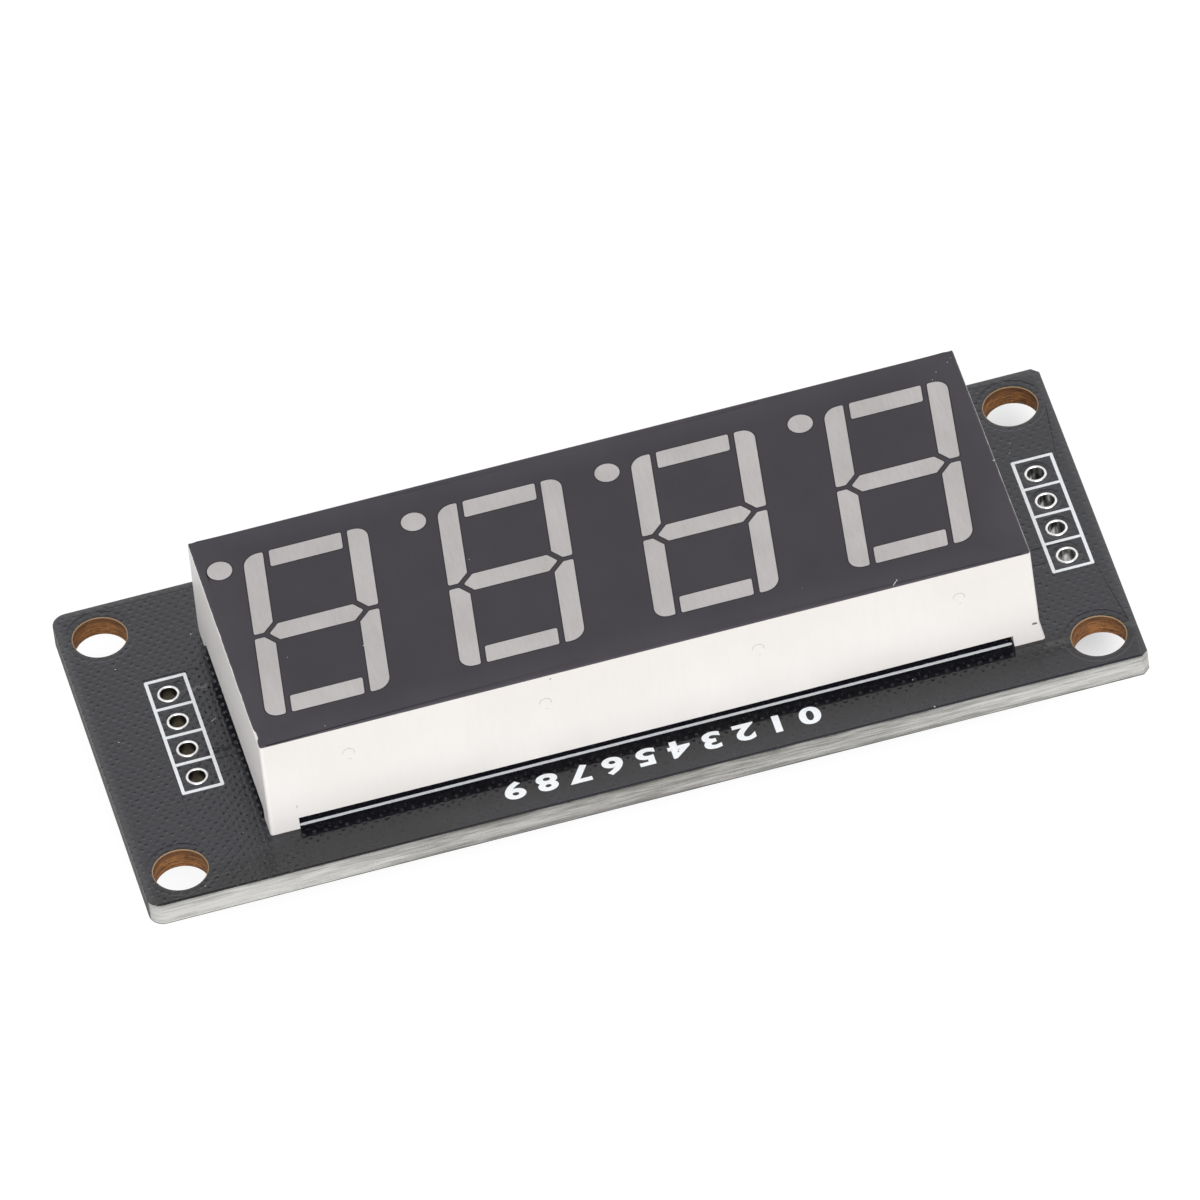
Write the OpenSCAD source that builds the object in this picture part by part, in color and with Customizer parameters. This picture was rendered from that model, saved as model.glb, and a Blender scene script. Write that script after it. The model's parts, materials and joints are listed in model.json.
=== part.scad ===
// Four-digit seven segment display soldered to its driver board.
// +X runs to the right and +Y towards the tops of the digits, +Z towards the viewer.
// The origin is the centre of the four mounting holes, on the underside of the board.

/* [Board] */
// Length of the circuit board
board_l = 65.3; // [64.5:0.1:70]
// Width of the circuit board
board_w = 27; // [26:0.1:32]
// Thickness of the finished board
board_t = 1.6; // [1.2:0.1:2]
// Shift of the board along its length, from the middle of the mounting holes
board_x = 0.05; // [-0.1:0.05:0.1]
// Radius of the two corners at the right-hand end
corner_r = 1; // [0.6:0.1:2]
// Cut across the two corners at the left-hand end
corner_cut = 0.45; // [0.2:0.05:0.9]

/* [Mounting holes] */
// Distance between the hole centres along the board
hole_pitch_x = 60.1; // [59.8:0.1:60.4]
// Distance between the hole centres across the board
hole_pitch_y = 21.5; // [21.3:0.1:22]
// Diameter of a mounting hole
hole_d = 3.5; // [3:0.1:3.6]

/* [Headers] */
// Distance between neighbouring header holes
header_pitch = 2.54; // [2.5:0.01:2.6]
// Finished diameter of a header hole
header_hole_d = 1.1; // [0.9:0.05:1.15]
// Diameter of the ring round a header hole
header_ring_d = 1.44; // [1.4:0.02:1.6]
// Place of the right-hand header along the board
header_right_x = 27.1; // [27:0.05:27.3]
// Place of the left-hand header along the board
header_left_x = -30; // [-30.1:0.05:-29.8]
// Place of both headers across the board
header_y = -0.59; // [-0.7:0.01:-0.4]

/* [Display] */
// Length of the display
display_l = 50.3; // [50:0.1:50.5]
// Width of the display
display_w = 19; // [18.6:0.1:19.2]
// Height of the display above the board
display_h = 7.9; // [7.6:0.1:8.2]
// Place of the display along the board
display_x = -1.35; // [-1.4:0.05:-1.2]
// Place of the display across the board
display_y = 0.3; // [0:0.05:0.5]
// Height of the gap under the walls, between the corner feet
slot_h = 0.98; // [0.8:0.02:1.06]
// Length of the foot at each corner, along the long walls
foot_l = 1.8; // [1.8:0.05:2]

/* [Digits] */
// Distance between the digits
digit_pitch = 12.7; // [12.6:0.05:12.75]
// Height of a digit
digit_h = 14.2; // [13.6:0.1:14.4]
// Width of a digit before it leans
digit_w = 8.12; // [7.9:0.02:8.2]
// Width of the upright bars
bar_w = 1.3; // [1.1:0.05:1.4]
// Width of the top, middle and bottom bars
rail_w = 1.4; // [1.2:0.05:1.5]
// Gap between neighbouring bars
bar_gap = 0.4; // [0.3:0.05:0.5]
// Lean of the digits, in degrees
lean = 8; // [0:0.5:9]
// Radius of a digit's outer corners
digit_r = 0.9; // [0.4:0.1:1.1]
// Diameter of the decimal point
dot_d = 1.6; // [1.2:0.1:1.7]

/* [Driver] */
// Length of the driver chip's body
driver_l = 12.8; // [12.6:0.1:13]
// Width of the driver chip's body
driver_w = 7.5; // [7.4:0.1:7.6]
// Height of the driver chip's body
driver_h = 2.3; // [2:0.05:2.5]

/* [Hidden] */
$fn = 48;

// layers of the board: laminate in the middle, copper on it, mask over both
mask_t = 0.06;
copper_t = 0.035;
laminate_t = board_t - 2 * mask_t;
proud = 0.02;            // how far a tinned ring or land stands out of the mask
plating_t = 0.05;        // wall of a plated hole
ring_bevel = 0.03;       // softened rim of a plated ring
mask_gap = 0.07;         // bare laminate round a ring or land
mask_hole_gap = 0.17;    // mask held back from a mounting hole
pour_inset = 0.45;       // ground copper held back from the board's edge
pour_hole_r = 2.2;       // ground copper held back from a mounting hole
track_gap = 0.2;         // groove between a track and the ground copper
print_t = 0.02;
print_w = 0.22;
print_shift = [-0.1, -0.06];
print_inset = 0.23;      // white line's place inside the display's long walls

// header pins from the top of the board down: power, data, clock, ground
header_ys = [for (k = [0:3]) header_y + (1.5 - k) * header_pitch];
power_y = 2.87;
spare_y = 1.81;          // second run of the data track, beside the power track
return_y = -4.55;        // ground track that leaves the right-hand header
data_y = header_ys[1];
clock_y = header_ys[2];
ground_y = header_ys[3];

// pins of the display
pin_count = 6;
pin_pitch = 2.54;
pin_rows = 15.24;
pin_r = 0.25;
pin_tip_z = -1.5;
pin_tip_r = 0.12;
pin_head_r = 0.45;
pin_head_t = 0.3;
pin_hole_d = 0.9;
pin_ring_d = 1.6;

// inside of the display, heights measured from the top of the board
housing_r = 0.2;
face_t = 0.08;
foot_w = 1.5;            // foot at each corner, along the end walls
bay_l = 48.4;
bay_w = 16.8;
inner_z = 1.1;
inner_t = 1;
inner_gap = 0.1;
web_z = 2.9;
dot_x = 5.64;
dot_y = -6.42;
small_r = 0.12;          // radius of a bar's lesser corners

// light emitting dies and their wires
die_w = 0.3;
die_h = 0.2;
wire_r = 0.015;
wire_span = 0.6;
pocket_l = 1.3;
pocket_w = 0.5;
pocket_h = 0.65;

// driver chip, heights measured down from the underside of the board
lead_count = 10;
lead_pitch = 1.27;
lead_w = 0.41;
lead_t = 0.25;
lead_reach = 5.15;       // chip centre to lead tip
driver_gap = 0.1;        // air between the board and the chip
foot_gap = 0.05;
land_reach = [4.25, 5.7];
land_w = 0.62;
body_draft = 0.13;
body_mid = driver_gap + driver_h / 2;
dimple_r = 0.5;
dimple_depth = 0.06;

// small parts: centre, turn, [length, width, height]
data_resistor_place = [[11, 1.55], 90, [1.6, 0.8, 0.4]];
clock_resistor_place = [[14.5, -2.9], 90, [1.6, 0.8, 0.4]];
data_capacitor_place = [[18, 1.55], 90, [1.6, 0.8, 0.8]];
clock_capacitor_place = [[21, -2.9], 90, [1.6, 0.8, 0.8]];
supply_capacitor_place = [[-12, 4.6], 0, [2, 1.25, 0.85]];
reserve_capacitor_place = [[-17, 4.8], 0, [3.2, 1.6, 1.6]];
resistor_places = [data_resistor_place, clock_resistor_place];
small_places = concat(resistor_places, [data_capacitor_place, clock_capacitor_place,
    supply_capacitor_place, reserve_capacitor_place]);
cap_l = 0.3;             // length of a tinned end
cap_lip = 0.02;          // how far a tinned end stands out of the body
coat_t = 0.05;
part_gap = 0.03;         // solder film under a small part
land_in = 0.35;          // land under a tinned end
land_out = 0.4;          // land beyond a tinned end

// vias carry the power between the two copper layers
via_hole_d = 0.3;
via_ring_d = 0.7;
driver_via = [display_x + 8.2, power_y];
data_via = [12.1, power_y];
clock_via = [15.7, -3.5];
spare_via = [22.6, spare_y];
supply_via = [-12.95, power_y];
reserve_via = [-18.5, power_y];
via_places = [driver_via, data_via, clock_via, spare_via, supply_via, reserve_via];

// short tracks that join a land to the ground copper
ground_spurs = [
    [[18, 2.5], [18, 3.8]], [[21, -3.8], [21, -5]], [[-10.8, 4.6], [-9.4, 4.6]], [[-15.3, 4.8], [-15.3, 6.6]],
    [[lead_x(0), display_y + 5], [lead_x(0), display_y + 7]],
    [[lead_x(9), display_y - 5], [lead_x(9), display_y - 7]]
];

// ---- shared helpers ----

function unit(v) = v / norm(v);

function last_of(list) = len(list) - 1;

// An outline with each corner turned into an arc of its own radius
function rounded(points, radii, steps) = [
    for (i = [0:last_of(points)])
        let (p = points[i],
             r = radii[i],
             u = unit(points[(i + last_of(points)) % len(points)] - p),
             v = unit(points[(i + 1) % len(points)] - p),
             half = acos(u * v) / 2,
             turn = 180 - 2 * half,
             centre = p + unit(u + v) * r / sin(half),
             start = p + u * r / tan(half) - centre,
             end = p + v * r / tan(half) - centre)
        for (k = [0:steps[i]])
            centre + (start * sin(turn * (1 - k / steps[i])) + end * sin(turn * k / steps[i])) / sin(turn)
];

function leaned(points) = [for (p = points) [p[0] + p[1] * tan(lean), p[1]]];

module at_display() {
    translate([display_x, display_y, board_t])
        children();
}

// Puts its children on the underside, with their +Z pointing away from the board
module on_underside() {
    mirror([0, 0, 1])
        children();
}

module at_mounting_holes() {
    for (sx = [-1, 1], sy = [-1, 1])
        translate([sx * hole_pitch_x / 2, sy * hole_pitch_y / 2, 0])
            children();
}

module at_header(x) {
    for (y = header_ys)
        translate([x, y, 0])
            children();
}

module at_headers() {
    at_header(header_left_x)
        children();
    at_header(header_right_x)
        children();
}

module at_pins() {
    for (i = [0:pin_count - 1], side = [-1, 1])
        translate([display_x + (i - (pin_count - 1) / 2) * pin_pitch, display_y + side * pin_rows / 2, 0])
            children();
}

module at_vias() {
    for (p = via_places)
        translate([p[0], p[1], 0])
            children();
}

module rounded_block(l, w, h, r) {
    linear_extrude(h) {
        square([l - 2 * r, w], center = true);
        square([l, w - 2 * r], center = true);
        for (sx = [-1, 1], sy = [-1, 1])
            translate([sx * (l / 2 - r), sy * (w / 2 - r)])
                circle(r);
    }
}

// A tube with a flange at each end, as electroplating leaves it in a drilled hole
module plated_hole(hole_d, ring_d, rise) {
    r_in = hole_d / 2;
    r_wall = r_in + plating_t;
    r_ring = ring_d / 2;
    low = mask_t - rise;
    high = board_t - mask_t + rise;
    rotate_extrude()
        polygon([
            [r_in, low + ring_bevel], [r_in + ring_bevel, low],
            [r_ring - ring_bevel, low], [r_ring, low + ring_bevel],
            [r_ring, mask_t], [r_wall, mask_t],
            [r_wall, board_t - mask_t], [r_ring, board_t - mask_t],
            [r_ring, high - ring_bevel], [r_ring - ring_bevel, high],
            [r_in + ring_bevel, high], [r_in, high - ring_bevel]
        ]);
}

// ---- circuit board ----

module board_outline() {
    translate([board_x, 0])
        difference() {
            union() {
                translate([-board_l / 2, -board_w / 2])
                    square([board_l - corner_r, board_w]);
                translate([0, corner_r - board_w / 2])
                    square([board_l / 2, board_w - 2 * corner_r]);
                for (side = [-1, 1])
                    translate([board_l / 2 - corner_r, side * (board_w / 2 - corner_r)])
                        circle(corner_r);
            }
            for (side = [-1, 1])
                translate([-board_l / 2, side * board_w / 2])
                    rotate(45)
                        square(corner_cut * sqrt(2), center = true);
        }
}

module circuit_board() {
    color("darkkhaki")
        difference() {
            translate([0, 0, mask_t])
                linear_extrude(laminate_t)
                    board_outline();
            at_mounting_holes()
                cylinder(d = hole_d, h = board_t);
            at_headers()
                cylinder(d = header_hole_d + 2 * plating_t, h = board_t);
            at_pins()
                cylinder(d = pin_hole_d + 2 * plating_t, h = board_t);
            at_vias()
                cylinder(d = via_hole_d + 2 * plating_t, h = board_t);
        }
}

// One copper track along a path
module track(path, w) {
    for (i = [0:last_of(path)]) {
        translate(path[i])
            circle(d = w, $fn = 24);
        if (i < last_of(path)) {
            step = path[i + 1] - path[i];
            translate(path[i])
                rotate(atan2(step[1], step[0]))
                    translate([0, -w / 2])
                        square([norm(step), w]);
        }
    }
}

// Ground copper, held back from the board's edge and from the mounting holes
module ground_area() {
    difference() {
        square([board_l - 2 * pour_inset, board_w - 2 * pour_inset], center = true);
        at_mounting_holes()
            circle(pour_hole_r);
    }
}

module ring_areas(grow) {
    at_headers()
        circle(d = header_ring_d + 2 * grow);
    at_pins()
        circle(d = pin_ring_d + 2 * grow);
    at_vias()
        circle(d = via_ring_d + 2 * grow);
}

module top_tracks(grow) {
    track([[header_right_x, power_y], [header_left_x, power_y]], 1.1 + 2 * grow);
    track([[header_right_x, data_y], [header_right_x + data_y - spare_y, spare_y], spare_via],
        0.83 + 2 * grow);
    track([clock_via, [clock_via[0], power_y]], 0.4 + 2 * grow);
}

// Ground copper leaves a bare window between the display and the right-hand header
module top_copper_area() {
    window = [display_x + display_l / 2 + 0.3, -6, header_right_x + 1.3, 12];
    difference() {
        union() {
            difference() {
                ground_area();
                translate([window[0], window[1]])
                    square([window[2] - window[0], window[3] - window[1]]);
                top_tracks(track_gap);
                ring_areas(track_gap);
            }
            top_tracks(0);
            track([[header_right_x, return_y], [window[0] - 1, return_y]], 1);
            track([[header_left_x, ground_y], [header_left_x + 2, ground_y]], 1);
        }
        ring_areas(0);
    }
}

module top_copper() {
    color("peru")
        translate([0, 0, board_t - mask_t])
            linear_extrude(copper_t)
                top_copper_area();
}

function lead_x(i) = display_x + (i - (lead_count - 1) / 2) * lead_pitch;

function pin_x(i) = display_x + (i - (pin_count - 1) / 2) * pin_pitch;

module bottom_tracks(grow) {
    thin = 0.3 + 2 * grow;
    for (i = [0:pin_count - 1], side = [-1, 1])
        track([[lead_x(i + 2), display_y + side * land_reach[1]],
               [pin_x(i), display_y + side * pin_rows / 2]], thin);
    for (y = [data_y, clock_y])
        track([[header_right_x, y], [header_left_x, y]], 0.4 + 2 * grow);
    track([[lead_x(8), display_y + land_reach[0]], [lead_x(8), data_y]], thin);
    track([[lead_x(8), display_y - land_reach[0]], [lead_x(8), clock_y]], thin);
    track([[lead_x(9), display_y + land_reach[1]], [driver_via[0], display_y + land_reach[1]],
           driver_via], 0.4 + 2 * grow);
    track([spare_via, [spare_via[0], data_y]], 0.4 + 2 * grow);
    track([[11, 2.3], data_via], thin);
    track([[14.5, -3.65], clock_via], thin);
    track([[-12.95, 4.6], supply_via], 0.5 + 2 * grow);
    track([[-18.5, 4.8], reserve_via], 0.5 + 2 * grow);
}

module driver_land_areas(grow) {
    for (i = [0:lead_count - 1], side = [-1, 1])
        translate([lead_x(i), display_y + side * (land_reach[0] + land_reach[1]) / 2])
            square([land_w + 2 * grow, land_reach[1] - land_reach[0] + 2 * grow], center = true);
}

module small_land_areas(grow) {
    for (p = small_places, side = [-1, 1])
        translate(p[0])
            rotate(p[1])
                translate([side * (p[2][0] + land_out - land_in) / 2, 0])
                    square([land_in + land_out + 2 * grow, p[2][1] + 2 * grow], center = true);
}

module bottom_copper_area() {
    difference() {
        union() {
            difference() {
                ground_area();
                bottom_tracks(track_gap);
                ring_areas(track_gap);
                driver_land_areas(track_gap);
                small_land_areas(track_gap);
            }
            bottom_tracks(0);
            for (spur = ground_spurs)
                track(spur, 0.5);
        }
        ring_areas(0);
        driver_land_areas(0);
        small_land_areas(0);
    }
}

module bottom_copper() {
    color("peru")
        translate([0, 0, mask_t - copper_t])
            linear_extrude(copper_t)
                bottom_copper_area();
}

module mask_area() {
    difference() {
        board_outline();
        at_mounting_holes()
            circle(d = hole_d + 2 * mask_hole_gap);
        at_headers()
            circle(d = header_ring_d + 2 * mask_gap);
        at_pins()
            circle(d = pin_ring_d + 2 * mask_gap);
    }
}

module via_ring_areas() {
    at_vias()
        difference() {
            circle(d = via_ring_d);
            circle(d = via_hole_d);
        }
}

// Lies over the copper and fills in beside it
module top_solder_mask() {
    color("#2b2b2e") {
        translate([0, 0, board_t - mask_t + copper_t])
            linear_extrude(mask_t - copper_t)
                mask_area();
        translate([0, 0, board_t - mask_t])
            linear_extrude(copper_t)
                difference() {
                    mask_area();
                    top_copper_area();
                    via_ring_areas();
                }
    }
}

module bottom_mask_area() {
    difference() {
        mask_area();
        driver_land_areas(mask_gap);
        small_land_areas(mask_gap);
    }
}

module bottom_solder_mask() {
    color("#2b2b2e") {
        linear_extrude(mask_t - copper_t)
            bottom_mask_area();
        translate([0, 0, mask_t - copper_t])
            linear_extrude(copper_t)
                difference() {
                    bottom_mask_area();
                    bottom_copper_area();
                    via_ring_areas();
                }
    }
}

// White frames round the header holes, and a line under each long wall of the display
module board_print() {
    cell = header_pitch;
    frame_h = 4 * cell;
    line_x = display_l / 2 - foot_l - 0.15;
    color("whitesmoke")
        translate([0, 0, board_t])
            linear_extrude(print_t) {
                for (x = [header_left_x, header_right_x])
                    translate([x, header_y] + print_shift) {
                        track([[-cell, -frame_h] / 2, [cell, -frame_h] / 2, [cell, frame_h] / 2,
                               [-cell, frame_h] / 2, [-cell, -frame_h] / 2], print_w);
                        for (k = [-1:1])
                            track([[-cell / 2, k * cell], [cell / 2, k * cell]], print_w);
                    }
                for (side = [-1, 1])
                    translate([display_x, display_y + side * (display_w / 2 - print_inset)])
                        track([[-line_x, 0], [line_x, 0]], print_w);
            }
}

module right_header_holes() {
    color("silver")
        at_header(header_right_x)
            plated_hole(header_hole_d, header_ring_d, mask_t + proud);
}

module left_header_holes() {
    color("silver")
        at_header(header_left_x)
            plated_hole(header_hole_d, header_ring_d, mask_t + proud);
}

module pin_holes() {
    color("silver")
        at_pins()
            plated_hole(pin_hole_d, pin_ring_d, mask_t + proud);
}

// Tented: the mask runs over both ends
module vias() {
    color("peru")
        at_vias()
            rotate_extrude()
                polygon([
                    [via_hole_d / 2, mask_t - copper_t], [via_ring_d / 2, mask_t - copper_t],
                    [via_ring_d / 2, mask_t], [via_hole_d / 2 + plating_t, mask_t],
                    [via_hole_d / 2 + plating_t, board_t - mask_t], [via_ring_d / 2, board_t - mask_t],
                    [via_ring_d / 2, board_t - mask_t + copper_t], [via_hole_d / 2, board_t - mask_t + copper_t]
                ]);
}

module driver_lands() {
    color("silver")
        translate([0, 0, -proud])
            linear_extrude(mask_t + proud)
                driver_land_areas(0);
}

module small_part_lands() {
    color("silver")
        translate([0, 0, -proud])
            linear_extrude(mask_t + proud)
                small_land_areas(0);
}

// ---- display ----

digit_x = digit_w / 2;
digit_y = digit_h / 2;
bar_x = digit_x - bar_w;              // inner edge of the upright bars
rail_x = bar_x - bar_gap;             // end of the top and bottom bars
tip_x = bar_x + 0.3;                  // point of the middle bar
tip_l = 0.62;                         // length of that point
tip_slope = [rail_w / 2, tip_l];      // square to the middle bar's slanted ends
tip_line = (tip_x * tip_slope[0]) / norm(tip_slope) + bar_gap;
bar_low = bar_gap / 2;                // end of an upright bar, next to the other one
bar_cut_x = (tip_line * norm(tip_slope) - bar_low * tip_slope[1]) / tip_slope[0];
bar_cut_y = (tip_line * norm(tip_slope) - bar_x * tip_slope[0]) / tip_slope[1];

function rail(sy) = [[-rail_x, sy * (digit_y - rail_w)], [rail_x, sy * (digit_y - rail_w)],
    [rail_x, sy * digit_y], [-rail_x, sy * digit_y]];

function middle_bar() = [
    for (s = [1, -1], p = [[tip_l - tip_x, rail_w / 2], [tip_x - tip_l, rail_w / 2], [tip_x, 0]]) s * p
];

function upright_bar(sx, sy) = [for (p = [[digit_x, digit_y], [digit_x, bar_low], [bar_cut_x, bar_low],
    [bar_x, bar_cut_y], [bar_x, digit_y]]) [sx * p[0], sy * p[1]]];

// where the light comes from: the middle of each bar, and the decimal point
bar_centres = [[0, digit_y - rail_w / 2], [0, 0], [0, rail_w / 2 - digit_y],
    for (sx = [-1, 1], sy = [-1, 1]) [sx * (digit_x - bar_w / 2), sy * digit_h / 4]];
die_places = leaned(concat(bar_centres, [[dot_x, dot_y]]));

// A bar with its outer corner rounded more than the others
module bar(points, outer_r, outer_steps) {
    spots = [0:last_of(points)];
    polygon(leaned(rounded(points,
        [for (k = spots) k == 0 ? outer_r : small_r],
        [for (k = spots) k == 0 ? outer_steps : 2])));
}

module digit() {
    bar(rail(1), small_r, 2);
    bar(middle_bar(), small_r, 2);
    bar(rail(-1), small_r, 2);
    for (sx = [-1, 1], sy = [-1, 1])
        bar(upright_bar(sx, sy), digit_r, 7);
    translate(leaned([[dot_x, dot_y]])[0])
        circle(d = dot_d);
}

module at_digits() {
    for (i = [0:3])
        translate([(i - 1.5) * digit_pitch, 0, 0])
            children();
}

module light_ways(low, high) {
    at_digits()
        translate([0, 0, low])
            linear_extrude(high - low)
                digit();
}

module display_housing() {
    slot_l = display_l - 2 * foot_l;
    color("whitesmoke")
        at_display()
            difference() {
                rounded_block(display_l, display_w, display_h - face_t, housing_r);
                translate([-slot_l / 2, -display_w, -1])
                    cube([slot_l, 2 * display_w, slot_h + 1]);
                translate([-display_l, foot_w - display_w / 2, -1])
                    cube([2 * display_l, display_w - 2 * foot_w, slot_h + 1]);
                translate([-bay_l / 2, -bay_w / 2, 0])
                    cube([bay_l, bay_w, web_z]);
                light_ways(web_z, display_h);
            }
}

module black_face() {
    color("#48464b")
        at_display()
            difference() {
                translate([0, 0, display_h - face_t])
                    rounded_block(display_l, display_w, face_t, housing_r);
                light_ways(web_z, display_h + 1);
            }
}

module at_dies() {
    at_digits()
        for (p = die_places)
            translate([p[0], p[1], inner_z + inner_t])
                children();
}

module resin_fill() {
    resin_z = inner_z + inner_t;
    color("gainsboro")
        difference() {
            at_display()
                difference() {
                    union() {
                        translate([-bay_l / 2, -bay_w / 2, resin_z])
                            cube([bay_l, bay_w, web_z - resin_z]);
                        light_ways(web_z, display_h);
                    }
                    at_dies()
                        translate([die_w - pocket_l, -pocket_w / 2, -1])
                            cube([pocket_l, pocket_w, pocket_h + 1]);
                }
            at_pins()
                translate([0, 0, board_t + resin_z - 1])
                    cylinder(r = pin_head_r, h = pin_head_t + 1);
        }
}

module inner_board() {
    color("darkkhaki")
        difference() {
            at_display()
                translate([inner_gap - bay_l / 2, inner_gap - bay_w / 2, inner_z])
                    cube([bay_l - 2 * inner_gap, bay_w - 2 * inner_gap, inner_t]);
            at_pins()
                cylinder(r = pin_r, h = board_t + display_h);
        }
}

module led_dies() {
    color("gold")
        at_display()
            at_dies()
                translate([-die_w / 2, -die_w / 2, 0])
                    cube([die_w, die_w, die_h]);
}

// Each wire rises from its die, arches over and lands on the inner board
module bond_wires() {
    color("goldenrod")
        at_display()
            at_dies()
                translate([-wire_span / 2, 0, die_h]) {
                    rotate([90, 0, 0])
                        rotate_extrude(angle = 180, $fn = 32)
                            translate([wire_span / 2, 0])
                                circle(wire_r, $fn = 16);
                    translate([-wire_span / 2, 0, -die_h])
                        cylinder(r = wire_r, h = die_h, $fn = 16);
                }
}

module display_pins() {
    head_z = board_t + inner_z + inner_t;
    color("silver")
        at_pins()
            rotate_extrude()
                polygon([
                    [0, pin_tip_z], [pin_tip_r, pin_tip_z], [pin_r, pin_tip_z + 0.2],
                    [pin_r, head_z], [pin_head_r, head_z], [pin_head_r, head_z + pin_head_t],
                    [0, head_z + pin_head_t]
                ]);
}

// Fills the plated hole round each pin and ends in a hollow-sided cone
module pin_solder() {
    cone_r = pin_ring_d / 2 - 0.05;
    cone_h = 0.85;
    steps = 5;
    color("lightgray")
        at_pins()
            rotate_extrude()
                polygon(concat(
                    [[pin_r, board_t + proud], [pin_hole_d / 2, board_t + proud - ring_bevel],
                     [pin_hole_d / 2, ring_bevel - proud], [pin_hole_d / 2 + ring_bevel, -proud]],
                    [for (k = [0:steps])
                        [pin_r + (cone_r - pin_r) * pow(1 - k / steps, 2), -proud - cone_h * k / steps]]
                ));
}

// ---- driver chip ----

// The body's outline seen from one end: both halves taper away from the band round its middle
module driver_profile(w) {
    band = lead_t / 2;
    half = w / 2;
    right = [[half - body_draft, driver_gap], [half, body_mid - band], [half, body_mid + band],
        [half - body_draft, driver_gap + driver_h]];
    left = [for (k = [3:-1:0]) [-right[k][0], right[k][1]]];
    polygon(concat(right, left));
}

module driver_body() {
    color("#303033")
        on_underside()
            translate([display_x, display_y, 0])
                difference() {
                    intersection() {
                        rotate([90, 0, 0])
                            linear_extrude(2 * driver_w, center = true)
                                driver_profile(driver_l);
                        rotate([90, 0, 90])
                            linear_extrude(2 * driver_l, center = true)
                                driver_profile(driver_w);
                    }
                    translate([1.2 - driver_l / 2, 1.2 - driver_w / 2, driver_gap + driver_h - dimple_depth])
                        cylinder(r = dimple_r, h = 1);
                }
}

module driver_leads() {
    half = driver_w / 2;
    knee = body_mid - lead_t / 2;
    color("silver")
        on_underside()
            for (i = [0:lead_count - 1], side = [-1, 1])
                translate([lead_x(i), display_y, 0])
                    rotate(side > 0 ? 0 : 180)
                        rotate([90, 0, 90])
                            linear_extrude(lead_w, center = true)
                                polygon([
                                    [half, knee], [half + 0.25, knee], [half + 0.55, foot_gap],
                                    [lead_reach, foot_gap], [lead_reach, foot_gap + lead_t],
                                    [half + 0.8, foot_gap + lead_t], [half + 0.5, knee + lead_t],
                                    [half, knee + lead_t]
                                ]);
}

// A wedge at the toe of each lead, with a thin film under its foot
module driver_solder() {
    color("lightgray")
        on_underside()
            for (i = [0:lead_count - 1], side = [-1, 1])
                translate([lead_x(i), display_y, 0])
                    rotate(side > 0 ? 0 : 180)
                        rotate([90, 0, 90])
                            linear_extrude(lead_w + 0.1, center = true)
                                polygon([
                                    [land_reach[0] + 0.1, proud], [land_reach[1] - 0.1, proud],
                                    [lead_reach + 0.15, foot_gap + 0.08],
                                    [lead_reach, foot_gap + lead_t * 0.8],
                                    [lead_reach, foot_gap], [land_reach[0] + 0.1, foot_gap]
                                ]);
}

// ---- small parts ----

module on_place(place) {
    on_underside()
        translate([place[0][0], place[0][1], 0])
            rotate(place[1])
                children();
}

// The ceramic between the two tinned ends
module ceramic(place) {
    size = place[2];
    on_place(place)
        translate([cap_l - size[0] / 2, -size[1] / 2, proud + part_gap + cap_lip])
            cube([size[0] - 2 * cap_l, size[1], size[2]]);
}

module data_resistor() {
    color("white")
        ceramic(data_resistor_place);
}

module clock_resistor() {
    color("white")
        ceramic(clock_resistor_place);
}

module resistor_coatings() {
    color("#26262a")
        for (place = resistor_places)
            on_place(place)
                translate([0, 0, proud + part_gap + cap_lip + place[2][2] + coat_t / 2])
                    cube([place[2][0] - 2 * cap_l, place[2][1] - 0.1, coat_t], center = true);
}

module data_capacitor() {
    color("tan")
        ceramic(data_capacitor_place);
}

module clock_capacitor() {
    color("tan")
        ceramic(clock_capacitor_place);
}

module supply_capacitor() {
    color("tan")
        ceramic(supply_capacitor_place);
}

module reserve_capacitor() {
    color("burlywood")
        ceramic(reserve_capacitor_place);
}

module end_caps() {
    color("silver")
        for (place = small_places, side = [-1, 1])
            on_place(place)
                translate([side * (place[2][0] - cap_l) / 2, 0,
                           proud + part_gap + cap_lip + place[2][2] / 2])
                    cube([cap_l, place[2][1] + 2 * cap_lip, place[2][2] + 2 * cap_lip], center = true);
}

module small_part_solder() {
    color("lightgray")
        for (place = small_places, side = [-1, 1]) {
            end = place[2][0] / 2;
            on_place(place)
                rotate(side > 0 ? 0 : 180)
                    rotate([90, 0, 0])
                        linear_extrude(place[2][1] * 0.9, center = true)
                            polygon([
                                [end - land_in + 0.05, proud], [end + land_out - 0.05, proud],
                                [end + 0.1, proud + place[2][2] * 0.3], [end, proud + place[2][2] * 0.7],
                                [end, proud + part_gap], [end - land_in + 0.05, proud + part_gap]
                            ]);
        }
}

circuit_board();
top_copper();
bottom_copper();
top_solder_mask();
bottom_solder_mask();
board_print();
right_header_holes();
left_header_holes();
pin_holes();
vias();
driver_lands();
small_part_lands();
display_housing();
black_face();
resin_fill();
inner_board();
led_dies();
bond_wires();
display_pins();
pin_solder();
driver_body();
driver_leads();
driver_solder();
clock_resistor();
data_resistor();
resistor_coatings();
clock_capacitor();
data_capacitor();
supply_capacitor();
reserve_capacitor();
end_caps();
small_part_solder();
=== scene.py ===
import json
from math import pi, radians
import bmesh
import bpy
from mathutils import Matrix, Vector, noise


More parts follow.
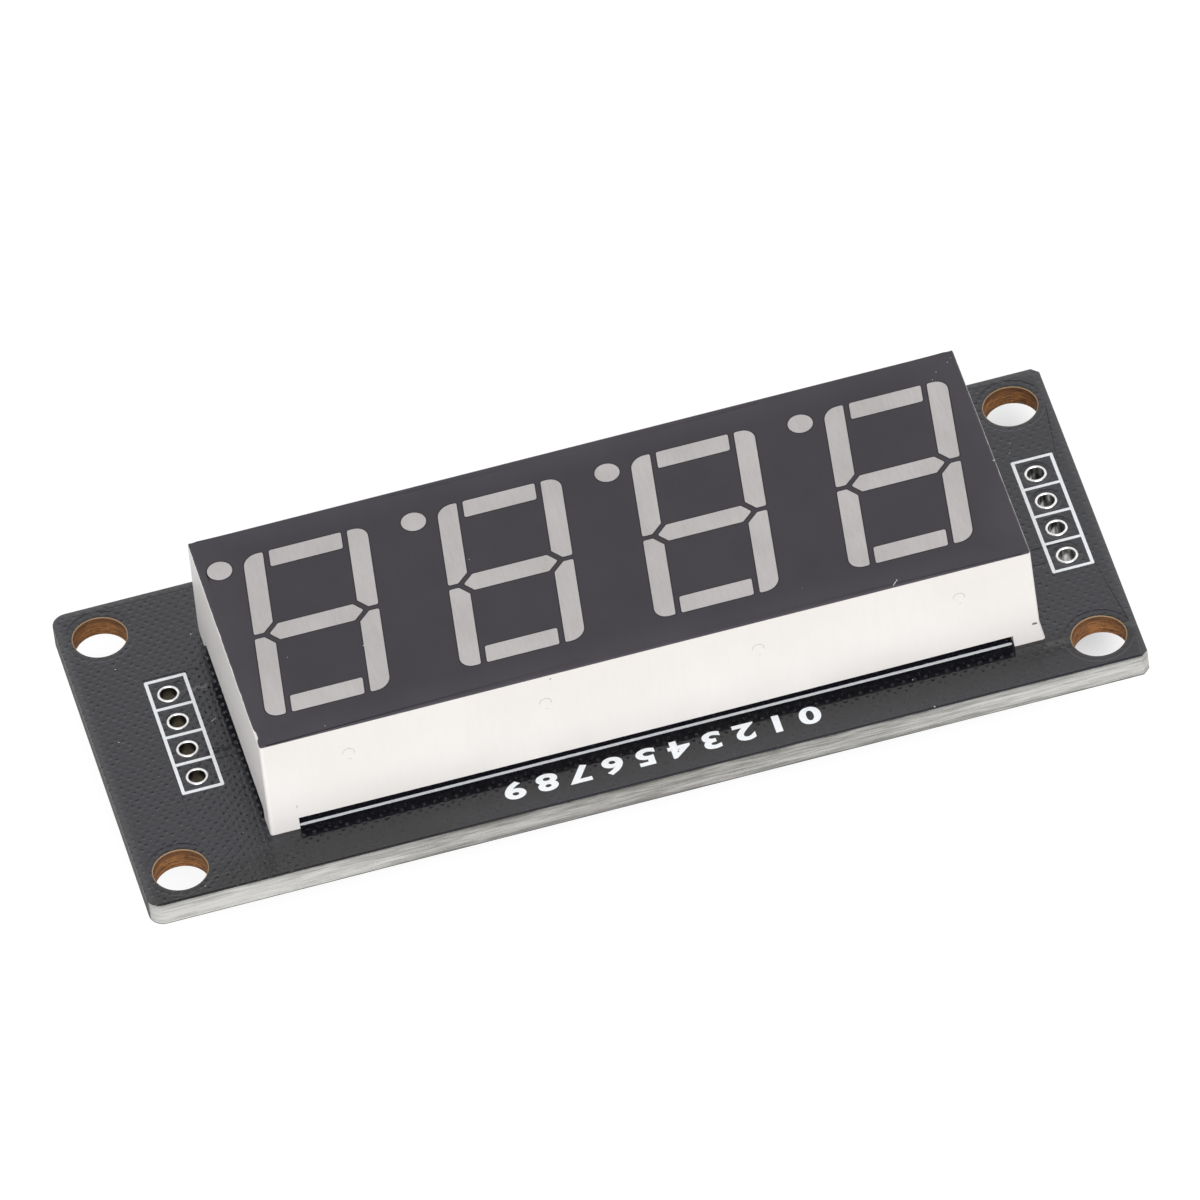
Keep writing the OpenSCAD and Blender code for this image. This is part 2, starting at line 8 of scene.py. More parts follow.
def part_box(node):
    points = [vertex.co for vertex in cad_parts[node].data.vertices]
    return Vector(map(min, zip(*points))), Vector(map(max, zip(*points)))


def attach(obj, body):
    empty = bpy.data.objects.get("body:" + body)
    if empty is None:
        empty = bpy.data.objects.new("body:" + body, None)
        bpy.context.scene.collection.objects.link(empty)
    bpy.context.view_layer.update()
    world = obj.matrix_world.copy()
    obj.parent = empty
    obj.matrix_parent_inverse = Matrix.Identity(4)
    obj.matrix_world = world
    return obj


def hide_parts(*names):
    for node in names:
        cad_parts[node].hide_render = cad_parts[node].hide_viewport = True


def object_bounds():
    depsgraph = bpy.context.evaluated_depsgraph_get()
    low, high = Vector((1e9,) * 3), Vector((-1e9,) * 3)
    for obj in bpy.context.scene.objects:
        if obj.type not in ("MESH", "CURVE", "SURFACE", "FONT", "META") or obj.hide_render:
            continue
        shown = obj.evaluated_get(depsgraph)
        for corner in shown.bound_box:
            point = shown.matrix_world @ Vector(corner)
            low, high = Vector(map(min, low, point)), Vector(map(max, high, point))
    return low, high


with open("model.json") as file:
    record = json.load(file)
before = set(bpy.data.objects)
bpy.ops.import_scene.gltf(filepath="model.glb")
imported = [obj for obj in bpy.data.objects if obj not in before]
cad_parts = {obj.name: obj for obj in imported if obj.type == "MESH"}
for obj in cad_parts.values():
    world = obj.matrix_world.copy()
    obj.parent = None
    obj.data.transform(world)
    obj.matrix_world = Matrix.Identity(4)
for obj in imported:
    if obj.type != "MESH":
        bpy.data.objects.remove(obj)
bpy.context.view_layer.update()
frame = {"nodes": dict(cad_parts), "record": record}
mm = 0.001
nodes = frame["nodes"]
mounts = {m["name"]: m for m in frame["record"]["mounts"]}
bolts = mounts["mounting_holes"]["dims"]
print("frame loaded:", len(nodes), "nodes")


# shader helpers

# Makes a node; each input is given a plain value, or a link when the value is a socket
def addNode(tree, kind, inputs=None, **settings):
    made = tree.nodes.new(kind)
    for key, value in settings.items():
        setattr(made, key, value)
    for key, value in (inputs or {}).items():
        if isinstance(value, bpy.types.NodeSocket):
            tree.links.new(value, made.inputs[key])
        else:
            made.inputs[key].default_value = value
    return made


def mathNode(tree, operation, a, b=0.0, c=0.0):
    return addNode(tree, "ShaderNodeMath", {0: a, 1: b, 2: c}, operation=operation).outputs[0]


def plus(tree, a, b):
    return mathNode(tree, "ADD", a, b)


def minus(tree, a, b):
    return mathNode(tree, "SUBTRACT", a, b)


def times(tree, a, b):
    return mathNode(tree, "MULTIPLY", a, b)


def timesPlus(tree, a, b, c):
    return mathNode(tree, "MULTIPLY_ADD", a, b, c)


def larger(tree, a, b):
    return mathNode(tree, "MAXIMUM", a, b)


def mixColour(tree, factor, a, b):
    return addNode(tree, "ShaderNodeMix", {0: factor, 6: a, 7: b}, data_type="RGBA").outputs[2]


# Carries low..high to toLow..toHigh with soft ends
def remap(tree, value, low, high, toLow=0.0, toHigh=1.0):
    return addNode(tree, "ShaderNodeMapRange", {0: value, 1: low, 2: high, 3: toLow, 4: toHigh},
                   interpolation_type="SMOOTHSTEP").outputs[0]


# 1 between two values of a coordinate, falling off over a soft edge
def between(tree, value, low, high, soft):
    rise = remap(tree, value, low - soft, low + soft)
    fall = remap(tree, value, high - soft, high + soft, 1.0, 0.0)
    return times(tree, rise, fall)


def noiseNode(tree, vector, scale, detail=3.0, rough=0.55, distort=0.0):
    wanted = {"Vector": vector, "Scale": scale, "Detail": detail, "Roughness": rough, "Distortion": distort}
    return addNode(tree, "ShaderNodeTexNoise", wanted).outputs[0]


def stretched(tree, vector, scale, turn=0.0):
    return addNode(tree, "ShaderNodeMapping",
                   {"Vector": vector, "Scale": scale, "Rotation": (0.0, 0.0, radians(turn))}).outputs[0]


def axesOf(tree, vector):
    return addNode(tree, "ShaderNodeSeparateXYZ", {0: vector}).outputs


def grey(value, warm=0.0):
    return (value * (1 + warm), value, value * (1 - warm), 1.0)


def newGroup(name, inputs, outputs):
    group = bpy.data.node_groups.new(name, "ShaderNodeTree")
    for label, kind, value in inputs:
        made = group.interface.new_socket(name=label, in_out="INPUT", socket_type="NodeSocket" + kind)
        if value is not None:
            made.default_value = value
    for label in outputs:
        group.interface.new_socket(name=label, in_out="OUTPUT", socket_type="NodeSocketFloat")
    return group, group.nodes.new("NodeGroupInput").outputs, group.nodes.new("NodeGroupOutput").inputs


def useGroup(tree, group, inputs):
    return addNode(tree, "ShaderNodeGroup", inputs, node_tree=group).outputs


# Glass cloth under a coating: a small dip wherever two threads cross, every second one on each line
def makeClothGroup():
    group, given, out = newGroup("clothHeight",
                                 [("Vector", "Vector", None), ("Period", "Float", 0.714),
                                  ("Jitter", "Float", 0.1)],
                                 ["Height", "Depth"])
    wander = addNode(group, "ShaderNodeTexNoise", {"Vector": given["Vector"], "Scale": 1.6, "Detail": 3.0})
    centred = addNode(group, "ShaderNodeVectorMath", {0: wander.outputs["Color"], 1: (0.5, 0.5, 0.5)},
                      operation="SUBTRACT").outputs[0]
    shift = addNode(group, "ShaderNodeVectorMath", {0: centred, "Scale": given["Jitter"]}, operation="SCALE")
    moved = addNode(group, "ShaderNodeVectorMath", {0: given["Vector"], 1: shift.outputs[0]}, operation="ADD")
    axis = axesOf(group, moved.outputs[0])
    turn = mathNode(group, "DIVIDE", 2 * pi, given["Period"])
    warp = mathNode(group, "SINE", times(group, axis[0], turn))
    weft = mathNode(group, "SINE", times(group, axis[1], turn))
    uneven = noiseNode(group, given["Vector"], 2.6, 4.0, 0.65)
    depth = times(group, remap(group, times(group, warp, weft), 0.1, 0.95), remap(group, uneven, 0.36, 0.66))
    group.links.new(minus(group, 1.0, depth), out["Height"])
    group.links.new(depth, out["Depth"])
    return group


# Sparse dots, for fine dust on a coating
def makeSpeckGroup():
    group, given, out = newGroup("specks",
                                 [("Vector", "Vector", None), ("Spacing", "Float", 1.0),
                                  ("Size", "Float", 0.05), ("Share", "Float", 0.3)],
                                 ["Mask"])
    scale = mathNode(group, "DIVIDE", 1.0, given["Spacing"])
    cells = addNode(group, "ShaderNodeTexVoronoi",
                    {"Vector": given["Vector"], "Scale": scale, "Randomness": 1.0})
    near = times(group, cells.outputs["Distance"], given["Spacing"])
    dot = minus(group, 1.0, mathNode(group, "DIVIDE", near, given["Size"]))
    chance = addNode(group, "ShaderNodeSeparateColor", {0: cells.outputs["Color"]}).outputs
    kept = mathNode(group, "LESS_THAN", chance[0], given["Share"])
    sized = minus(group, dot, times(group, chance[1], 0.6))
    group.links.new(times(group, kept, remap(group, sized, 0.0, 0.4)), out["Mask"])
    return group


# Fine parallel lines, as a sawn, wiped or moulded face has
def makeStreakGroup():
    group, given, out = newGroup("streaks",
                                 [("Vector", "Vector", None), ("Fine", "Float", 14.0),
                                  ("Coarse", "Float", 4.0)],
                                 ["Value"])
    fine = noiseNode(group, given["Vector"], given["Fine"], 4.0, 0.6)
    coarse = noiseNode(group, given["Vector"], given["Coarse"], 2.0, 0.5)
    both = plus(group, times(group, fine, 0.6), times(group, coarse, 0.4))
    group.links.new(remap(group, both, 0.32, 0.68), out["Value"])
    return group


clothHeight = makeClothGroup()
specks = makeSpeckGroup()
streaks = makeStreakGroup()


# A new material with its tree and shader, and a vector in millimetres along the part's own axes
def newMaterial(name, settings):
    material = bpy.data.materials.new(name)
    material.use_nodes = True
    tree = material.node_tree
    shader = tree.nodes["Principled BSDF"]
    for key, value in settings.items():
        shader.inputs[key].default_value = value
    place = addNode(tree, "ShaderNodeTexCoord").outputs["Object"]
    inMm = addNode(tree, "ShaderNodeVectorMath", {0: place, "Scale": 1 / mm}, operation="SCALE").outputs[0]
    return material, tree, shader, inMm


# Links a finish to its shader; the height times its scale is in millimetres
def giveFinish(tree, shader, colour, rough, height, heightScale=1.0):
    tree.links.new(colour, shader.inputs["Base Color"])
    tree.links.new(rough, shader.inputs["Roughness"])
    bump = addNode(tree, "ShaderNodeBump", {"Height": height, "Distance": heightScale * mm, "Strength": 1.0})
    tree.links.new(bump.outputs[0], shader.inputs["Normal"])


# How far a point is from the nearest of four axes at plus and minus (x, y)
def distanceToFour(tree, axis, x, y):
    dx = minus(tree, mathNode(tree, "ABSOLUTE", axis[0]), x)
    dy = minus(tree, mathNode(tree, "ABSOLUTE", axis[1]), y)
    return mathNode(tree, "SQRT", plus(tree, times(tree, dx, dx), times(tree, dy, dy)))


# materials: places in them are in millimetres, and a trio is a low end, a high end and how soft both are

maskLook = {
    "colour": (0.0130, 0.0132, 0.0205, 1.0),
    "thin": (0.040, 0.040, 0.046, 1.0),      # where the coat runs out at the board's edges
    "thinX": (31.9, 32.6),
    "thinY": (12.5, 13.5),
    "thick": (0.0045, 0.0042, 0.0070, 1.0),  # painted shade: darker in front of the display, right of its middle
    "paintedShadeX": (4.0, 18.0),
    "paintedShadeY": (10.9, 11.5),
    "wallShadeY": (9.0, 9.8),                   # and painted shade of the wall all along the display, fading away from it
    "fadeY": (11.2, 13.8),
    "frontX": (25.5, 21.5),                  # what lies only in front of the display ends at its corner
    "dust": (0.30, 0.31, 0.32, 1.0),
    "dustDots": {"Spacing": 1.5, "Size": 0.05, "Share": 0.1},
    "dustCover": 0.5,
    "rough": (0.13, 0.18),
    "dipRough": 0.20,
    "patchScale": 0.35,
    "cloth": {"Period": 0.714, "Jitter": 0.16},   # the period is two threads
    "dip": 0.032,
    "dipBare": 0.066,                        # where no copper lies over the cloth
    "bareX": (24.0, 26.0, 0.6),
    "bareY": (-4.2, 1.5, 0.3),
    "bareFrontY": (10.4, 10.95, 0.2),
    "wallX": (23.5, 26.5, 1.2),              # the dips are deeper along the display's right-hand wall
    "wallGain": 1.9,
    "farX": (-29.0, -25.0),                  # and shallower at the left-hand end
    "farShare": 0.5,
    "smoothX": (24.0, 20.0),                 # and nearly gone along the near edge
    "smoothY": (11.0, 11.6),
    "smoothLoss": 0.7,
    "pitScale": 5.0,
    "pitDepth": 0.008,
    "swell": 0.022,                          # the coat rises a little away from the line before the display
    "swellY": (10.25, 11.25),
}


def makeMask():
    look = maskLook
    material, tree, shader, place = newMaterial("solderMask", {"IOR": 1.62})
    axis = axesOf(tree, place)
    inFront = remap(tree, axis[0], *look["frontX"])
    cloth = useGroup(tree, clothHeight, {"Vector": place, **look["cloth"]})
    bareSide = times(tree, between(tree, axis[0], *look["bareX"]), between(tree, axis[1], *look["bareY"]))
    bareFront = times(tree, inFront, between(tree, axis[1], *look["bareFrontY"]))
    dip = timesPlus(tree, larger(tree, bareSide, bareFront), look["dipBare"] - look["dip"], look["dip"])
    dip = times(tree, dip, timesPlus(tree, between(tree, axis[0], *look["wallX"]), look["wallGain"], 1.0))
    dip = times(tree, dip, remap(tree, axis[0], *look["farX"], look["farShare"], 1.0))
    smooth = times(tree, remap(tree, axis[1], *look["smoothY"]), remap(tree, axis[0], *look["smoothX"]))
    dip = times(tree, dip, timesPlus(tree, smooth, -look["smoothLoss"], 1.0))
    pits = times(tree, noiseNode(tree, place, look["pitScale"], 4.0, 0.65), look["pitDepth"])
    swell = times(tree, remap(tree, axis[1], *look["swellY"], 0.0, look["swell"]), inFront)
    height = plus(tree, plus(tree, times(tree, cloth["Height"], dip), pits), swell)
    # painted shade: the mask is darker beside the display's wall, and in front of the display right of its
    # middle
    beside = times(tree, remap(tree, axis[1], *look["fadeY"], 1.0, 0.0),
                   remap(tree, axis[1], *look["wallShadeY"]))
    thick = times(tree, remap(tree, axis[0], *look["paintedShadeX"]), remap(tree, axis[1], *look["paintedShadeY"]))
    thick = larger(tree, thick, times(tree, beside, inFront))
    coat = mixColour(tree, thick, look["colour"], look["thick"])
    thinX = remap(tree, mathNode(tree, "ABSOLUTE", axis[0]), *look["thinX"])
    thinY = remap(tree, times(tree, axis[1], -1.0), *look["thinY"])
    coat = mixColour(tree, larger(tree, thinX, thinY), coat, look["thin"])
    dust = useGroup(tree, specks, {"Vector": place, **look["dustDots"]})["Mask"]
    coat = mixColour(tree, times(tree, dust, look["dustCover"]), coat, look["dust"])
    patches = remap(tree, noiseNode(tree, place, look["patchScale"], 2.0), 0.3, 0.7, *look["rough"])
    giveFinish(tree, shader, coat, timesPlus(tree, cloth["Depth"], look["dipRough"], patches), height)
    return material


laminateLook = {
    "dull": (0.185, 0.180, 0.166, 1.0),
    "pale": (0.560, 0.555, 0.535, 1.0),
    "layers": ((0.0, 0.30), (0.06, 0.02), (0.19, 0.24), (0.31, 0.58), (0.42, 0.42), (0.52, 0.50),
               (0.66, 0.42), (0.8, 0.30), (1.0, 0.24)),    # share of the pale colour from bottom to top
    "thick": 1.6,
    "wander": 0.5,
    "rightX": (9.0, 27.0),      # the cut edge gets paler towards both ends
    "rightPale": (-0.05, 0.42),
    "leftX": (-12.0, -24.0),
    "leftPale": 0.32,
    "lowZ": (0.5, 0.1),         # and most of all low down at the right
    "lowPale": 0.45,
    "fibre": 0.75,
    "speckle": 0.7,
    # the right-hand end face is dark
    "darkEnd": (0.090, 0.090, 0.088, 1.0),
    "darkEndX": (32.6, 32.68),
    "drilled": (0.38, 0.170, 0.056, 1.0),
    "drilledDark": (0.095, 0.040, 0.018, 1.0),
    "drilledPale": (0.62, 0.45, 0.27, 1.0),
    "drilledReach": 1.95,
    "top": 1.54,
    "rough": (0.6, 0.85),
    "grainDepth": 0.012,
}


def makeLaminate():
    look = laminateLook
    material, tree, shader, place = newMaterial("laminate", {"IOR": 1.45, "Specular IOR Level": 0.25})
    axis = axesOf(tree, place)
    wander = noiseNode(tree, stretched(tree, place, (0.5, 0.5, 0.5)), 1.0, 4.0)
    height = timesPlus(tree, wander, look["wander"], minus(tree, axis[2], look["wander"] / 2))
    layers = addNode(tree, "ShaderNodeValToRGB", {0: mathNode(tree, "DIVIDE", height, look["thick"])})
    ramp = layers.color_ramp
    for element, (spot, value) in zip(ramp.elements, (look["layers"][0], look["layers"][-1])):
        element.position, element.color = spot, grey(value)
    for spot, value in look["layers"][1:-1]:
        ramp.elements.new(spot).color = grey(value)
    ends = plus(tree, remap(tree, axis[0], *look["rightX"], *look["rightPale"]),
                remap(tree, axis[0], *look["leftX"], 0.0, look["leftPale"]))
    low = times(tree, remap(tree, axis[0], *look["rightX"]),
                remap(tree, axis[2], *look["lowZ"], 0.0, look["lowPale"]))
    along = stretched(tree, place, (0.12, 0.12, 3.0))
    fibre = useGroup(tree, streaks, {"Vector": along, "Fine": 4.5, "Coarse": 1.6})["Value"]
    speckle = noiseNode(tree, stretched(tree, place, (3.0, 3.0, 6.0)), 2.4, 4.0, 0.7)
    grain = plus(tree, timesPlus(tree, fibre, look["fibre"], -look["fibre"] / 2),
                 timesPlus(tree, speckle, look["speckle"], -look["speckle"] / 2))
    share = plus(tree, plus(tree, layers.outputs[0], plus(tree, ends, low)), grain)
    share = larger(tree, mathNode(tree, "MINIMUM", share, 1.0), 0.0)
    sawn = mixColour(tree, share, look["dull"], look["pale"])
    sawn = mixColour(tree, remap(tree, axis[0], *look["darkEndX"]), sawn, look["darkEnd"])
    swirl = noiseNode(tree, stretched(tree, place, (0.55, 0.55, 5.0)), 2.2, 4.0, 0.7)
    sparkle = noiseNode(tree, stretched(tree, place, (2.0, 2.0, 7.0)), 2.5, 3.0, 0.7)
    drilled = mixColour(tree, remap(tree, swirl, 0.36, 0.62), look["drilledDark"], look["drilled"])
    drilled = mixColour(tree, remap(tree, sparkle, 0.58, 0.74, 0.0, 0.8), drilled, look["drilledPale"])
    upper = remap(tree, axis[2], look["top"] - 0.75, look["top"] - 0.2, 0.0, 0.75)
    rim = remap(tree, axis[2], look["top"] - 0.1, look["top"], 0.0, 0.7)
    drilled = mixColour(tree, upper, drilled, look["drilledDark"])
    drilled = mixColour(tree, rim, drilled, look["drilledPale"])
    fromHole = distanceToFour(tree, axis, bolts["spacing_x_mm"] / 2, bolts["spacing_y_mm"] / 2)
    colour = mixColour(tree, mathNode(tree, "LESS_THAN", fromHole, look["drilledReach"]), sawn, drilled)
    giveFinish(tree, shader, colour, remap(tree, speckle, 0.3, 0.7, *look["rough"]),
               times(tree, plus(tree, fibre, speckle), look["grainDepth"]))
    return material


printLook = {
    "colour": (0.93, 0.955, 0.985, 1.0),
    "thin": (0.76, 0.79, 0.84, 1.0),
    "rough": (0.4, 0.6),
    "grainDepth": 0.006,
}


def makePrint():
    look = printLook
    material, tree, shader, place = newMaterial("whitePrint", {"IOR": 1.5})
    cover = noiseNode(tree, place, 5.0, 4.0, 0.65)
    colour = mixColour(tree, remap(tree, cover, 0.25, 0.5, 0.4, 1.0), look["thin"], look["colour"])
    giveFinish(tree, shader, colour, remap(tree, cover, 0.2, 0.8, *look["rough"]), cover, look["grainDepth"])
    return material


tinLook = {
    "bright": (0.95, 0.95, 0.95, 1.0),
    "worn": (0.74, 0.73, 0.72, 1.0),
    "barrelBright": (0.90, 0.89, 0.88, 1.0),
    "barrelDull": (0.075, 0.062, 0.042, 1.0),
    "barrelDark": grey(0.02, 0.15),
    "barrelZ": (0.03, 1.56),    # below and above this a barrel ends in its ring
    "grainDepth": 0.006,
}


# Tin on copper; inside a hole the barrel has its own colour, crossed by darker rings
def makeTin(name, barrel, rough, along, ringing):
    look = tinLook
    material, tree, shader, place = newMaterial(name, {"Metallic": 1.0})
    axis = axesOf(tree, place)
    stain = noiseNode(tree, place, 2.6, 3.0)
    rings = noiseNode(tree, stretched(tree, place, along), 2.0, 3.0)
    skin = mixColour(tree, remap(tree, stain, 0.35, 0.75, 0.0, 0.6), look["bright"], look["worn"])
    wall = mixColour(tree, remap(tree, rings, 0.3, 0.7, 0.0, ringing), barrel, look["barrelDark"])
    inside = times(tree, mathNode(tree, "GREATER_THAN", axis[2], look["barrelZ"][0]),
                   mathNode(tree, "LESS_THAN", axis[2], look["barrelZ"][1]))
    giveFinish(tree, shader, mixColour(tree, inside, skin, wall),
               remap(tree, stain, 0.3, 0.7, rough - 0.05, rough + 0.1),
               plus(tree, stain, rings), look["grainDepth"])
    return material


housingLook = {
    "colour": (0.855, 0.828, 0.805, 1.0),
    # a darker, warmer tone, used for random mottle and for painted shade
    "warm": (0.767, 0.735, 0.706, 1.0),
    "shadedTopZ": (4.0, 9.0),        # painted shade: darker and warmer towards the top
    "end": (0.930, 0.905, 0.885, 1.0),
    "litWallX": (23.55, 23.75),     # painted light: the right-hand wall is paler
    "line": grey(0.55),
    "lineCover": 0.06,
    "lineDepth": 0.002,
    "peelDepth": 0.005,
    "rough": (0.38, 0.50),
}


def makeHousing():
    look = housingLook
    material, tree, shader, place = newMaterial("displayHousing", {"IOR": 1.46})
    axis = axesOf(tree, place)
    flow = remap(tree, noiseNode(tree, place, 0.12, 2.0), 0.35, 0.7)
    # random mottle, plus painted shade rising towards the top
    tone = plus(tree, times(tree, flow, 0.3), remap(tree, axis[2], *look["shadedTopZ"], 0.0, 0.8))
    upright = stretched(tree, place, (2.5, 2.5, 0.25))
    lines = useGroup(tree, streaks, {"Vector": upright, "Fine": 4.0, "Coarse": 1.2})["Value"]
    skin = mixColour(tree, tone, look["colour"], look["warm"])
    # painted light on the right-hand wall
    skin = mixColour(tree, times(tree, remap(tree, axis[0], *look["litWallX"]), 0.6), skin, look["end"])
    skin = mixColour(tree, times(tree, lines, look["lineCover"]), skin, look["line"])
    orangePeel = noiseNode(tree, place, 2.4, 3.0)
    height = plus(tree, times(tree, lines, look["lineDepth"]), times(tree, orangePeel, look["peelDepth"]))
    giveFinish(tree, shader, skin, remap(tree, lines, 0.0, 1.0, *look["rough"]), height)
    return material


faceLook = {
    "colour": (0.0330, 0.0280, 0.0385, 1.0),
    "edge": (0.0120, 0.0100, 0.0130, 1.0),
    "border": (0.0475, 0.0405, 0.0530, 1.0),   # greyer round the outside of the face
    "borderX": (20.5, 25.0),
    "borderY": (7.0, 9.4),
    "centre": (-1.35, 0.3),
    "wiped": grey(0.045),
    "wipedCover": 0.12,
    "cloud": grey(0.012),
    "cloudCover": 0.2,
    "dust": grey(0.25),
    "dustDots": {"Spacing": 2.6, "Size": 0.06, "Share": 0.2},
    "dustCover": 0.25,
    "rough": (0.41, 0.50),
    "lineDepth": 0.0015,
    "grainDepth": 0.0012,
}


def makeFace(name, colour, borderShare):
    look = faceLook
    material, tree, shader, place = newMaterial(name, {"IOR": 1.45})
    axis = axesOf(tree, place)
    wiping = stretched(tree, place, (2.0, 0.35, 1.0), -22)
    lines = useGroup(tree, streaks, {"Vector": wiping, "Fine": 3.5, "Coarse": 0.7})["Value"]
    besideX = mathNode(tree, "ABSOLUTE", minus(tree, axis[0], look["centre"][0]))
    wallShadeY = mathNode(tree, "ABSOLUTE", minus(tree, axis[1], look["centre"][1]))
    border = larger(tree, remap(tree, besideX, *look["borderX"]), remap(tree, wallShadeY, *look["borderY"]))
    cloud = noiseNode(tree, place, 0.22, 3.0)
    dust = useGroup(tree, specks, {"Vector": place, **look["dustDots"]})["Mask"]
    coat = mixColour(tree, times(tree, border, borderShare), colour, look["border"])
    coat = mixColour(tree, times(tree, lines, look["wipedCover"]), coat, look["wiped"])
    coat = mixColour(tree, remap(tree, cloud, 0.35, 0.7, 0.0, look["cloudCover"]), coat, look["cloud"])
    coat = mixColour(tree, times(tree, dust, look["dustCover"]), coat, look["dust"])
    grain = noiseNode(tree, place, 9.0, 3.0, 0.6)
    height = plus(tree, times(tree, lines, look["lineDepth"]), times(tree, grain, look["grainDepth"]))
    giveFinish(tree, shader, coat, remap(tree, lines, 0.0, 1.0, *look["rough"]), height)
    return material


resinLook = {
    "pale": (0.575, 0.545, 0.540, 1.0),
    "dusk": (0.455, 0.430, 0.425, 1.0),
    "cloud": 0.45,              # how much each pattern darkens the resin
    "lines": 0.35,
    "mottle": 0.25,
    "rough": (0.30, 0.48),
    "lineDepth": 0.001,
}


def makeResin():
    look = resinLook
    material, tree, shader, place = newMaterial("resin", {"IOR": 1.5})
    wiping = stretched(tree, place, (2.4, 0.3, 1.0), -20)
    lines = useGroup(tree, streaks, {"Vector": wiping, "Fine": 4.5, "Coarse": 1.5})["Value"]
    cloud = noiseNode(tree, place, 0.22, 2.0, 0.4, 0.2)
    mottle = noiseNode(tree, place, 4.5, 3.0, 0.6)
    tone = plus(tree, times(tree, lines, look["lines"]), times(tree, mottle, look["mottle"]))
    tone = plus(tree, times(tree, remap(tree, cloud, 0.3, 0.7), look["cloud"]), tone)
    giveFinish(tree, shader, mixColour(tree, tone, look["pale"], look["dusk"]),
               remap(tree, lines, 0.0, 1.0, *look["rough"]), times(tree, lines, look["lineDepth"]))
    return material


# A plain finish with a stain that wanders over it, for small pieces
def makePlain(name, colour, second, rough, size, metallic=0.0, depth=0.004):
    material, tree, shader, place = newMaterial(name, {"Metallic": metallic})
    stain = noiseNode(tree, place, size, 4.0, 0.6)
    giveFinish(tree, shader, mixColour(tree, remap(tree, stain, 0.3, 0.7), colour, second),
               remap(tree, stain, 0.3, 0.7, rough - 0.06, rough + 0.08), times(tree, stain, depth))
    return material


finish = {
    "solder_mask": makeMask(),
    "laminate": makeLaminate(),
    "white_print": makePrint(),
    "tinned_copper": makeTin("tinnedCopper", tinLook["barrelBright"], 0.12, (1.6, 1.6, 0.2), 0.95),
    "housing": makeHousing(),
    "face_coating": makeFace("faceCoating", faceLook["colour"], 1.0),
    "resin": makeResin(),
    "copper": makePlain("tinnedFoil", (0.62, 0.58, 0.54, 1), (0.50, 0.40, 0.33, 1), 0.35, 1.5, 1.0),
    "die": makePlain("dieCrystal", (0.62, 0.50, 0.20, 1), (0.45, 0.34, 0.12, 1), 0.3, 12.0),
    "bond_wire": makePlain("bondWire", (0.86, 0.66, 0.30, 1), (0.75, 0.55, 0.22, 1), 0.25, 20.0, 1.0, 0.0005),
    "tinned_steel": makePlain("tinPlate", (0.80, 0.80, 0.81, 1), (0.58, 0.58, 0.58, 1), 0.3, 2.2, 1.0),
    "solder": makePlain("solderJoint", (0.78, 0.78, 0.79, 1), (0.60, 0.60, 0.61, 1), 0.22, 1.6, 1.0, 0.01),
    "chip_body": makePlain("chipBody", (0.028, 0.028, 0.030, 1), (0.040, 0.040, 0.042, 1), 0.62, 7.0, 0.0,
                           0.01),
    "alumina": makePlain("firedAlumina", (0.82, 0.82, 0.79, 1), (0.70, 0.70, 0.66, 1), 0.5, 5.0),
    "resistor_coating": makePlain("resistorGlaze", (0.015, 0.015, 0.017, 1), (0.028, 0.028, 0.030, 1), 0.3,
                                  4.0),
    "capacitor_ceramic": makePlain("capacitorCeramic", (0.52, 0.38, 0.24, 1), (0.42, 0.30, 0.18, 1), 0.45,
                                   3.0),
}
dullTin = makeTin("dullTin", tinLook["barrelDull"], 0.26, (1.2, 1.2, 7.0), 0.45)
faceEdge = makeFace("faceCoatingEdge", faceLook["edge"], 0.0)
nickShade = makePlain("nickShade", (0.06, 0.05, 0.05, 1), (0.14, 0.13, 0.13, 1), 0.6, 6.0)
mouldShade = makePlain("mouldShade", (0.46, 0.44, 0.42, 1), (0.60, 0.58, 0.56, 1), 0.6, 6.0)
dustWhite = makePlain("dustWhite", (0.75, 0.75, 0.76, 1), (0.55, 0.55, 0.56, 1), 0.6, 6.0)

for entry in frame["record"]["subparts"]:
    piece = nodes[entry["node"]]
    piece.data.materials.clear()
    piece.data.materials.append(finish[entry["material_slot"]])
nodes["right_header_holes"].data.materials[0] = dullTin    # darker barrels, where the other row's are bright
print("materials made:", len(bpy.data.materials))


# mesh helpers

closest = 0.0005 * mm    # points nearer to each other than this are one point
flush = 0.005 * mm       # and heights nearer than this are one height


def joinPoints(shape):
    bmesh.ops.remove_doubles(shape, verts=shape.verts, dist=closest)


# A bmesh of a CAD node with its loose triangles joined
def mergedMesh(node):
    shape = bmesh.new()
    shape.from_mesh(nodes[node].data)
    joinPoints(shape)
    return shape


def flatAreas(shape):
    bmesh.ops.dissolve_limit(shape, angle_limit=radians(0.5), verts=shape.verts, edges=shape.edges,
                             delimit={"NORMAL"})


def makePiece(shape, name, materials, stands=(), smoothAngle=30):
    mesh = bpy.data.meshes.new(name)
    shape.to_mesh(mesh)
    shape.free()
    for material in materials:
        mesh.materials.append(material)
    piece = bpy.data.objects.new(name, mesh)
    bpy.context.scene.collection.objects.link(piece)
    if smoothAngle:
        mesh.set_sharp_from_angle(angle=radians(smoothAngle))
        mesh.polygons.foreach_set("use_smooth", [True] * len(mesh.polygons))
    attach(piece, "root")
    if stands:
        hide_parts(*stands)
    return piece


def softenEdges(piece, width, angle):
    bevel = piece.modifiers.new("softEdges", "BEVEL")
    bevel.width = width * mm
    bevel.segments = 2
    bevel.limit_method = "ANGLE"
    bevel.angle_limit = radians(angle)
    bevel.use_clamp_overlap = True
    bevel.harden_normals = True


